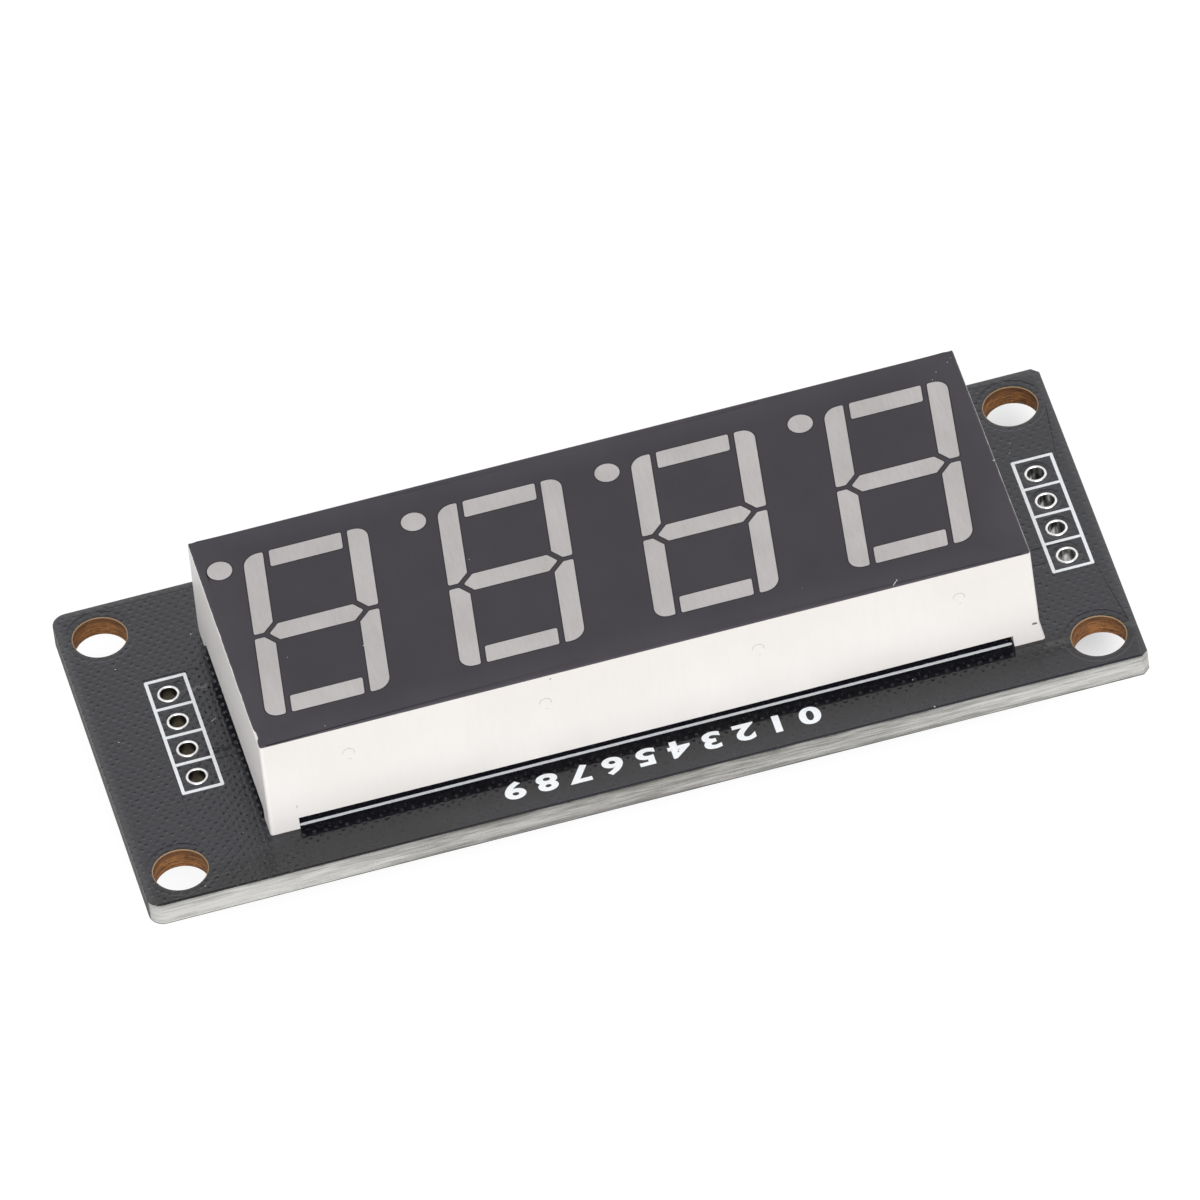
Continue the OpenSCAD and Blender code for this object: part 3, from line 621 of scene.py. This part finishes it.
# The upper side of a flat CAD piece, as a sheet that faces up
def topSheet(node, height):
    shape = mergedMesh(node)
    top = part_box(node)[1].z
    other = [f for f in shape.faces if min(v.co.z for v in f.verts) < top - flush]
    bmesh.ops.delete(shape, geom=other, context="FACES")
    for vert in shape.verts:
        vert.co.z = height
    inner = [e for e in shape.edges if not e.is_boundary]
    bmesh.ops.beautify_fill(shape, faces=shape.faces, edges=inner, method="ANGLE")
    return shape


# Turns a flat sheet that faces up into a closed plate
def closeBelow(shape, bottom):
    made = bmesh.ops.extrude_face_region(shape, geom=shape.faces[:], use_keep_orig=True)["geom"]
    for item in made:
        if isinstance(item, bmesh.types.BMVert):
            item.co.z = bottom
    bmesh.ops.recalc_face_normals(shape, faces=shape.faces)


# Cuts new edges across a shape at values of one axis, only in the faces whose middle is within
def cutAt(shape, axis, values, within=None):
    normal = Vector((0, 0, 0))
    normal[axis] = 1
    for value in values:
        faces = [f for f in shape.faces if not within or within(f.calc_center_median())]
        edges = {e for f in faces for e in f.edges}
        verts = {v for f in faces for v in f.verts}
        bmesh.ops.bisect_plane(shape, geom=list(verts) + list(edges) + faces, dist=closest,
                               plane_co=normal * value, plane_no=normal)


# display housing: walls lean out towards the board, and one foot was pushed outwards

housingShape = {
    "softEdge": 0.05,
    "softAngle": 50,
    "slotZ": 2.58,                # lower edge of the long walls
    "leanRight": (0.02, 0.130),   # how far the right-hand wall stands out, at its top and at its foot
    "leanLeft": (0.010, 0.060),
    "leanLong": (0.0, 0.10),
    "wallSkin": 0.3,              # only the outer skin of a wall moves
    "flare": 0.25,                # the pushed foot: how far it went, up to what height,
    "flareTop": 3.2,
    "flareReach": 2.6,            # how far from the corner along the left-hand wall,
    "flareDepth": 2.0,            # how far into the display, where it has nearly faded out,
    "flareFade": 2.4,
    "flareCurve": 0.6,
    "sag": 0.10,                  # dip of the long walls' lower edge, halfway along
    "sagDepth": 1.2,
    "sagEnd": 2.0,                # the dip starts this far from each corner
    "sagBand": 0.05,
    "cutZ": (1.9, 2.2, 2.7, 2.9, 3.2),
    "cutFromCorner": (0.9, 1.8, 2.7),
    "cutFromMiddle": (-20, -15, -10, -5, 0, 5, 10, 15, 20),
}


# How far a wall stands out at a height, from its amounts at the top and at the foot
def lean(amounts, top, z):
    down = min(1.0, (top - z) / (top - housingShape["slotZ"] * mm))
    return (amounts[0] + (amounts[1] - amounts[0]) * down) * mm


def buildHousing():
    look = housingShape
    low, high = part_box("display_housing")
    middle = (low.x + high.x) / 2
    skin = look["wallSkin"] * mm
    slotZ = look["slotZ"] * mm
    flareTop = look["flareTop"] * mm
    flareReach = look["flareReach"] * mm
    shape = mergedMesh("display_housing")
    flatAreas(shape)
    cutAt(shape, 2, [z * mm for z in look["cutZ"]])
    cutAt(shape, 1, [high.y - step * mm for step in look["cutFromCorner"]])
    cutAt(shape, 0, [middle + step * mm for step in look["cutFromMiddle"]])
    for vert in shape.verts:
        x, y, z = vert.co
        if x > high.x - skin:
            vert.co.x += lean(look["leanRight"], high.z, z)
        if x < low.x + skin:
            vert.co.x -= lean(look["leanLeft"], high.z, z)
        for side, wall in ((1, high.y), (-1, low.y)):
            if abs(y - wall) < skin:
                vert.co.y += side * lean(look["leanLong"], high.z, z)
        nearLongWall = min(abs(y - high.y), abs(y - low.y)) < look["sagDepth"] * mm
        if abs(z - slotZ) < look["sagBand"] * mm and nearLongWall:
            half = (high.x - low.x) / 2
            vert.co.z -= look["sag"] * mm * max(0.0, 1 - ((x - middle) / (half - look["sagEnd"] * mm)) ** 2)
        fromCorner = high.y - y
        if x < low.x + look["flareDepth"] * mm and fromCorner < flareReach and z < flareTop:
            rise = (flareTop - z) / (flareTop - low.z)
            fade = 1 - (x - low.x) / (look["flareFade"] * mm)
            amount = rise * (1 - fromCorner / flareReach) ** look["flareCurve"] * fade
            vert.co.x -= look["flare"] * mm * amount
    piece = makePiece(shape, "display_housing_soft", [finish["housing"]], ["display_housing"])
    softenEdges(piece, look["softEdge"], look["softAngle"])


buildHousing()
print("housing done")


# face coating: it stops just short of the edges, and is darker right beside each window

faceShape = {
    "under": 0.01,                # the dust on it lies level with the display's top
    "edgeBand": 0.09,
    "margin": 0.4,                # the band is dark only this far inside the coating's outline
    "thin": 0.07,                 # how far the coat thins out at its outer edge
    "rim": 0.02,
    "short": 0.02,
    "shortLeft": 0.005,
    "raggedLeft": 0.035,
    "raggedRight": 0.03,
    "raggedReach": 0.25,
    "fine": (2.3, 0.4),           # ups and downs in a millimetre of edge, and a line in the noise
    "coarse": (0.55, 7.7),
    "step": 0.22,                 # spacing of the points along its left and right edges
    "strip": 0.55,
    "chipY": (8.05, 9.15),        # flake lost from the right-hand edge, beside the near corner
    "chip": 0.11,
}


def waver(along, pair):
    return noise.noise(Vector((along / mm * pair[0], pair[1], 0.0)))


def buildFace():
    look = faceShape
    low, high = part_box("black_face")
    shape = topSheet("black_face", high.z - look["under"] * mm)
    count = int((high.y - low.y) / (look["step"] * mm))
    strip = look["strip"] * mm
    cutAt(shape, 0, [low.x + strip, high.x - strip])
    for outside in (lambda spot: spot.x < low.x + strip, lambda spot: spot.x > high.x - strip):
        bmesh.ops.dissolve_faces(shape, faces=[f for f in shape.faces if outside(f.calc_center_median())])
        cutAt(shape, 1, [low.y + (high.y - low.y) * (n + 0.5) / count for n in range(count)], outside)
    band = bmesh.ops.inset_region(shape, faces=shape.faces[:], use_boundary=True,
                                  thickness=look["edgeBand"] * mm)["faces"]
    margin = look["margin"] * mm
    for face in band:
        spot = face.calc_center_median()
        inside = low.x + margin < spot.x < high.x - margin and low.y + margin < spot.y < high.y - margin
        face.material_index = 1 if inside else 0
    reach = look["raggedReach"] * mm
    for vert in shape.verts:
        x, y, z = vert.co
        fine = waver(y, look["fine"])
        coarse = waver(y, look["coarse"])
        if min(x - low.x, high.x - x, y - low.y, high.y - y) < look["rim"] * mm:
            vert.co.z -= look["thin"] * mm
        if x - low.x < reach:
            ragged = look["raggedLeft"] * max(0.0, fine * 0.9 + coarse * 0.5 - 0.15)
            vert.co.x += (look["shortLeft"] + ragged) * mm
        if high.x - x < reach:
            fromChip = (y / mm - sum(look["chipY"]) / 2) / (look["chipY"][1] - look["chipY"][0]) * 2
            flake = look["chip"] * max(0.0, 1 - fromChip ** 2) * (1 + fine)
            vert.co.x -= (look["short"] + look["raggedRight"] * max(0.0, fine + coarse) + flake) * mm
        if high.y - y < reach:
            vert.co.y -= look["short"] * mm
        if y - low.y < reach:
            vert.co.y += look["short"] * mm
    closeBelow(shape, low.z)
    joinPoints(shape)
    bmesh.ops.poke(shape, faces=[f for f in shape.faces if len(f.verts) > 4])
    makePiece(shape, "black_face_coat", [finish["face_coating"], faceEdge], ["black_face"],
              smoothAngle=0)


buildFace()
print("face done")


# solder mask on the top: thin at its edges, and a little proud where copper lies under it

maskShape = {
    "setBack": 0.135,             # bare laminate along the near edge
    "setBackFrom": 1.0,
    "rim": 0.13,
    "rimDrop": 0.008,
    "holeRadius": 1.81,           # openings round the mounting holes, and how far out their old outline lies
    "holeReach": 2.1,
    "ringRadius": 0.735,          # the same round the header rings
    "ringReach": 0.9,
    "rise": 0.017,                # height of the copper's outline, and the width of its slope
    "slope": 0.085,
    "sunk": 0.001,                # the slope starts and the relief ends this far below the mask's surface
    "foot": 0.01,
    "clearRings": 0.93,
    "wallEdge": (24.1, 24.42),    # the copper's edge beside the display, as drawn and as it lies
    "nearEdge": (13.05, 13.32),   # and along the near side
    "edgeBand": 0.01,
}
holeAxes = [Vector((sx * bolts["spacing_x_mm"] / 2 * mm, sy * bolts["spacing_y_mm"] / 2 * mm))
            for sx in (-1, 1) for sy in (-1, 1)]
headers = [mount for name, mount in mounts.items() if name.endswith(("header_outer", "header_inner"))]
ringAxes = [Vector((m["pos_m"][0], m["pos_m"][1] + side * m["dims"]["spacing_y_mm"] / 2 * mm))
            for m in headers for side in (-1, 1)]


# Moves the outline of a round opening to another radius, and drops what would be squeezed flat
def keepOff(shape, centres, reach, radius):
    for centre in centres:
        near = {v for v in shape.verts if (Vector(v.co.xy) - centre).length < reach * mm}
        squeezed = [f for f in shape.faces if near.issuperset(f.verts)]
        bmesh.ops.delete(shape, geom=squeezed, context="FACES")
        for vert in [v for v in near if v.is_valid]:
            vert.co.x, vert.co.y = centre + (Vector(vert.co.xy) - centre).normalized() * radius * mm


def buildMask():
    look = maskShape
    low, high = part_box("top_solder_mask")
    shape = topSheet("top_solder_mask", high.z)
    keepOff(shape, holeAxes, look["holeReach"], look["holeRadius"])
    keepOff(shape, ringAxes, look["ringReach"], look["ringRadius"])
    for vert in shape.verts:
        near = 1 - (high.y - vert.co.y) / (look["setBackFrom"] * mm)
        vert.co.y -= look["setBack"] * mm * max(0.0, near)
    bmesh.ops.inset_region(shape, faces=shape.faces[:], use_boundary=True, thickness=look["rim"] * mm)
    for vert in shape.verts:
        if vert.is_boundary:
            vert.co.z -= look["rimDrop"] * mm
    closeBelow(shape, low.z)
    makePiece(shape, "top_mask_coat", [finish["solder_mask"]], ["top_solder_mask"],
              smoothAngle=0)


def buildRelief():
    look = maskShape
    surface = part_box("top_solder_mask")[1].z
    shape = topSheet("top_copper", surface - look["sunk"] * mm)
    keepOff(shape, ringAxes, look["clearRings"], look["clearRings"])
    for vert in shape.verts:
        if abs(vert.co.x - look["wallEdge"][0] * mm) < look["edgeBand"] * mm:
            vert.co.x = look["wallEdge"][1] * mm
        if abs(vert.co.y - look["nearEdge"][0] * mm) < look["edgeBand"] * mm:
            vert.co.y = look["nearEdge"][1] * mm
    bmesh.ops.inset_region(shape, faces=shape.faces[:], use_boundary=True, thickness=look["slope"] * mm,
                           depth=look["rise"] * mm)
    closeBelow(shape, surface - look["foot"] * mm)
    makePiece(shape, "top_mask_relief", [finish["solder_mask"]], smoothAngle=0)


buildMask()
buildRelief()
print("mask done")


# print: a row of plain numbers in front of the display

numberRow = {
    "text": "0 1 2 3 4 5 6 7 8 9",
    "centre": (-1.3, 10.53),
    "width": 20.7,
    "capHeight": 1.56,
    "thick": 0.02,
    "weight": 0.035,
}


def buildNumbers():
    look = numberRow
    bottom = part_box("board_print")[0].z
    words = bpy.data.curves.new("numberRow", "FONT")
    words.body = look["text"]
    words.size = 1.0
    words.offset = look["weight"]
    words.extrude = 0.01
    words.resolution_u = 6
    source = bpy.data.objects.new("numberRowText", words)
    bpy.context.scene.collection.objects.link(source)
    bpy.context.view_layer.update()
    mesh = bpy.data.meshes.new_from_object(source.evaluated_get(bpy.context.evaluated_depsgraph_get()))
    bpy.data.objects.remove(source)
    shape = bmesh.new()
    shape.from_mesh(mesh)
    bpy.data.meshes.remove(mesh)
    bmesh.ops.remove_doubles(shape, verts=shape.verts, dist=1e-5)
    stray = [f for f in shape.faces if sum(e.is_boundary for e in f.edges) > 1]
    bmesh.ops.delete(shape, geom=stray, context="FACES")
    caps = [f for f in shape.faces if len({round(v.co.z, 5) for v in f.verts}) == 1]
    inner = [e for e in shape.edges if all(f in caps for f in e.link_faces)]
    bmesh.ops.beautify_fill(shape, faces=caps, edges=inner, method="ANGLE")
    xs = [v.co.x for v in shape.verts]
    ys = [v.co.y for v in shape.verts]
    zs = [v.co.z for v in shape.verts]
    middle = (max(xs) + min(xs)) / 2
    sx = look["width"] * mm / (max(xs) - min(xs))
    sy = look["capHeight"] * mm / (max(ys) - min(ys))
    sz = look["thick"] * mm / (max(zs) - min(zs))
    for vert in shape.verts:
        vert.co = Vector(((vert.co.x - middle) * sx + look["centre"][0] * mm,
                          (vert.co.y - min(ys)) * sy + look["centre"][1] * mm,
                          (vert.co.z - min(zs)) * sz + bottom))
    makePiece(shape, "number_row", [finish["white_print"]], smoothAngle=0)


buildNumbers()
print("print done")


# small marks: dust, a scratch, a fibre, and grey and dark flecks on the display's wall, painted shade of
# moulding marks and dents

marksLook = {
    "maskDust": ((24.5, -9.0, 0.05), (28.9, 12.7, 0.04), (31.1, -1.3, 0.04), (29.8, -7.6, 0.04),
                 (-28.9, -6.7, 0.035), (-29.15, -7.5, 0.035), (-27.8, -6.5, 0.03), (-17.9, 10.5, 0.04),
                 (-18.6, 13.25, 0.07)),    # place and half length of each speck
    "faceDust": ((-26.42, 1.2, 0.07), (-24.6, -7.0, 0.035), (-25.0, -7.6, 0.03), (-25.9, -8.2, 0.03),
                 (-26.2, -8.5, 0.03), (15.4, 3.35, 0.05), (20.2, 2.7, 0.03), (21.2, 4.25, 0.035),
                 (7.8, -2.5, 0.03), (7.6, -2.15, 0.025), (7.2, -1.7, 0.03), (19.4, 9.3, 0.03),
                 (-12.1, 7.9, 0.025)),
    "scratch": ((24.9, -1.2, 0.24, 0.02, 30),),    # place, half length, half width and turn
    "fibre": ((-17.7, 9.5, 0.25, 0.03, 49), (-17.9, 9.28, 0.09, 0.03, 85)),
    "flat": 0.006,
    # moulding marks: thin raised arcs with a dash below, coloured grey as painted shade of their relief
    "mouldX": (-20.25, -7.12, 6.77, 19.6),         # from the middle of the display
    "mouldZ": 7.15,
    "mouldRadius": 0.38,
    "mouldWire": 0.022,
    "mouldTurn": 200,
    "dash": (-0.05, -0.55),                        # a small dash below each ring
    "dashSize": (0.16, 0.012, 0.035),
    # dents in the wall, as flecks: painted shade, grey for the faint one and dark for the rest
    "faintDentShades": ((22.0, 3.6, 0.045, 0.15),),     # place along and up the wall, half width and half height
    "dentShades": ((4.9, 9.1, 0.06, 0.05), (-26.2, 3.2, 0.19, 0.09)),
    "nickDepth": 0.01,
}


def addFleck(shape, place, size, turn=0.0):
    made = bmesh.ops.create_icosphere(shape, subdivisions=2, radius=1.0)["verts"]
    bmesh.ops.scale(shape, vec=Vector(size) * mm, verts=made)
    bmesh.ops.rotate(shape, cent=(0, 0, 0), matrix=Matrix.Rotation(radians(turn), 3, "Z"), verts=made)
    bmesh.ops.translate(shape, vec=place, verts=made)


def buildDust(name, top, lines):
    look = marksLook
    shape = bmesh.new()
    for n, (x, y, half) in enumerate(look[name]):
        addFleck(shape, (x * mm, y * mm, top), (half, half * (0.6 + 0.1 * (n % 4)), look["flat"]), 40 * n)
    for x, y, half, wide, turn in lines:
        addFleck(shape, (x * mm, y * mm, top), (half, wide, look["flat"]), turn)
    makePiece(shape, name, [dustWhite])


# Where the surface of the display's near wall is, at a height in millimetres
def nearWall(z):
    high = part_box("display_housing")[1]
    return high.y + lean(housingShape["leanLong"], high.z, z * mm)


# Grey and dark flecks on the display's near wall: painted shade of moulding marks and dents
def buildWallMarks():
    look = marksLook
    low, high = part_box("display_housing")
    middle = (low.x + high.x) / 2
    wall = nearWall(look["mouldZ"])
    shape = bmesh.new()
    for x in look["mouldX"]:
        ring = bmesh.ops.create_circle(shape, segments=8, radius=look["mouldWire"] * mm)["verts"]
        bmesh.ops.translate(shape, vec=(look["mouldRadius"] * mm, 0, 0), verts=ring)
        outline = list({e for v in ring for e in v.link_edges})
        bmesh.ops.spin(shape, geom=ring + outline, cent=(0, 0, 0), axis=(0, -1, 0),
                       angle=radians(look["mouldTurn"]), steps=14)
        tube = {v for f in shape.faces for v in f.verts if v.co.length < 1 * mm}
        bmesh.ops.holes_fill(shape, edges=[e for e in shape.edges if e.is_boundary])
        bmesh.ops.translate(shape, vec=(middle + x * mm, wall, look["mouldZ"] * mm), verts=list(tube))
        beside, below = look["dash"]
        addFleck(shape, (middle + (x + beside) * mm, wall, (look["mouldZ"] + below) * mm), look["dashSize"])
    bmesh.ops.recalc_face_normals(shape, faces=shape.faces)
    dentShades = bmesh.new()
    for target, marks in ((shape, look["faintDentShades"]), (dentShades, look["dentShades"])):
        for x, z, wide, tall in marks:
            addFleck(target, (x * mm, nearWall(z), z * mm), (wide, look["nickDepth"], tall))
    # grey: painted shade of the moulding marks' relief and of one faint dent
    makePiece(shape, "moulding_mark_shades", [mouldShade])
    # dark flecks: painted shade of dents in the wall
    makePiece(dentShades, "wall_dent_shades", [nickShade])


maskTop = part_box("top_solder_mask")[1].z + maskShape["rise"] * mm
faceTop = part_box("black_face")[1].z - marksLook["flat"] * mm
buildDust("maskDust", maskTop, marksLook["scratch"])
buildDust("faceDust", faceTop, marksLook["fibre"])
buildWallMarks()
print("marks done")


# stage

stageLook = {
    "floorSize": 3.0,
    "floorGap": 0.00002,
    "paper": grey(0.85),          # the floor as a light, and as it is seen
    "seenPaper": grey(0.22),
    "glow": 0.88,
    "shadeY": (-19.0, -11.0, 6.5, 11.2),    # a shade on the seen floor: where it starts, is full, and ends
    "shadeX": (-33.3, -30.0, -27.0, -20.0),
    "shade": 0.32,
    "mirrorY": (-9.0, 3.0, 1.0),  # and here it is deeper in reflections
    "mirrorShade": 0.5,
    "cameraPlace": (172.34, 1112.61, 1158.34),
    "cameraRight": (-0.96362, 0.24936, -0.09617),
    "cameraUp": (-0.24482, -0.67929, 0.69183),
    "lens": 764.68,
    "sensor": 36.0,
    "worldLight": 0.59,
    "domeFrom": (0.70, 0.95),     # reflections of the sky get darker between these heights, on a unit sphere
    "domeTop": 0.25,
}
lamps = {
    "backSoftbox": {"place": (-0.193, -0.672, 0.388), "size": (0.75, 0.31), "power": 0.19},
    "frontSoftbox": {"place": (0.0, 1.16, 0.79), "size": (2.0, 1.2), "power": 17.0},
}


# 1 for what is looked at, straight or in a reflection, and 0 for what only gives light
def seenRays(tree, rays):
    mirrored = larger(tree, rays["Is Glossy Ray"], rays["Is Transmission Ray"])
    return larger(tree, rays["Is Camera Ray"], mirrored)


# 1 between soft edges: it rises between the first two values and falls between the last two
def plateau(tree, value, edges):
    start, full, end, gone = [edge * mm for edge in edges]
    return times(tree, remap(tree, value, start, full), remap(tree, value, end, gone, 1.0, 0.0))


def floorMaterial():
    look = stageLook
    material = bpy.data.materials.new("floorPaper")
    material.use_nodes = True
    tree = material.node_tree
    tree.nodes.clear()
    rays = addNode(tree, "ShaderNodeLightPath").outputs
    axis = axesOf(tree, addNode(tree, "ShaderNodeTexCoord").outputs["Object"])
    under = times(tree, plateau(tree, axis[1], look["shadeY"]), plateau(tree, axis[0], look["shadeX"]))
    mirrorBand = between(tree, axis[1], *[value * mm for value in look["mirrorY"]])
    mirrored = times(tree, mirrorBand, rays["Is Glossy Ray"])
    shade = timesPlus(tree, mirrored, look["mirrorShade"], look["shade"])
    strength = minus(tree, look["glow"], times(tree, under, shade))
    paper = addNode(tree, "ShaderNodeBsdfDiffuse", {"Color": look["paper"]}).outputs[0]
    shaded = addNode(tree, "ShaderNodeBsdfDiffuse", {"Color": look["seenPaper"]}).outputs[0]
    glow = addNode(tree, "ShaderNodeEmission", {"Color": grey(1.0), "Strength": strength}).outputs[0]
    bright = addNode(tree, "ShaderNodeAddShader", {0: shaded, 1: glow}).outputs[0]
    both = addNode(tree, "ShaderNodeMixShader", {0: seenRays(tree, rays), 1: paper, 2: bright}).outputs[0]
    below = addNode(tree, "ShaderNodeNewGeometry").outputs["Backfacing"]
    clear = addNode(tree, "ShaderNodeBsdfTransparent").outputs[0]
    oneSided = addNode(tree, "ShaderNodeMixShader", {0: below, 1: both, 2: clear}).outputs[0]
    addNode(tree, "ShaderNodeOutputMaterial", {"Surface": oneSided})
    return material


def buildFloor():
    look = stageLook
    shape = bmesh.new()
    bmesh.ops.create_grid(shape, x_segments=1, y_segments=1, size=look["floorSize"] / 2)
    mesh = bpy.data.meshes.new("floor")
    shape.to_mesh(mesh)
    shape.free()
    mesh.materials.append(floorMaterial())
    floor = bpy.data.objects.new("floor", mesh)
    floor.location.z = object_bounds()[0].z - look["floorGap"]
    bpy.context.scene.collection.objects.link(floor)


def buildCamera():
    look = stageLook
    right = Vector(look["cameraRight"])
    up = Vector(look["cameraUp"])
    back = right.cross(up).normalized()
    turn = Matrix((right.normalized(), back.cross(right).normalized(), back)).transposed()
    camera = bpy.data.objects.new("camera", bpy.data.cameras.new("camera"))
    camera.matrix_world = Matrix.Translation(Vector(look["cameraPlace"]) * mm) @ turn.to_4x4()
    camera.data.lens = look["lens"]
    camera.data.sensor_width = look["sensor"]
    camera.data.clip_start = 0.01
    camera.data.clip_end = 20.0
    bpy.context.scene.collection.objects.link(camera)
    bpy.context.scene.camera = camera


# A soft light that points at the part's origin, in metres and watts
def addLamp(name, place, size, power):
    lamp = bpy.data.lights.new(name, "AREA")
    lamp.shape = "RECTANGLE"
    lamp.size, lamp.size_y = size
    lamp.energy = power
    holder = bpy.data.objects.new(name, lamp)
    holder.visible_camera = False
    holder.location = place
    holder.rotation_euler = (-Vector(place)).to_track_quat("-Z", "Y").to_euler()
    bpy.context.scene.collection.objects.link(holder)


def buildWorld():
    look = stageLook
    world = bpy.data.worlds.new("studio")
    bpy.context.scene.world = world
    world.use_nodes = True
    tree = world.node_tree
    tree.nodes.clear()
    rays = addNode(tree, "ShaderNodeLightPath").outputs
    strength = timesPlus(tree, seenRays(tree, rays), 1 - look["worldLight"], look["worldLight"])
    direction = addNode(tree, "ShaderNodeTexCoord").outputs["Generated"]
    dome = remap(tree, axesOf(tree, direction)[2], *look["domeFrom"], 0.0, 1 - look["domeTop"])
    strength = minus(tree, strength, times(tree, rays["Is Glossy Ray"], dome))
    sky = addNode(tree, "ShaderNodeBackground", {"Color": grey(1.0), "Strength": strength}).outputs[0]
    addNode(tree, "ShaderNodeOutputWorld", {"Surface": sky})


buildFloor()
buildCamera()
buildWorld()
for name, lamp in lamps.items():
    addLamp(name, lamp["place"], lamp["size"], lamp["power"])
bpy.context.scene.view_settings.view_transform = "Standard"
print("stage done")
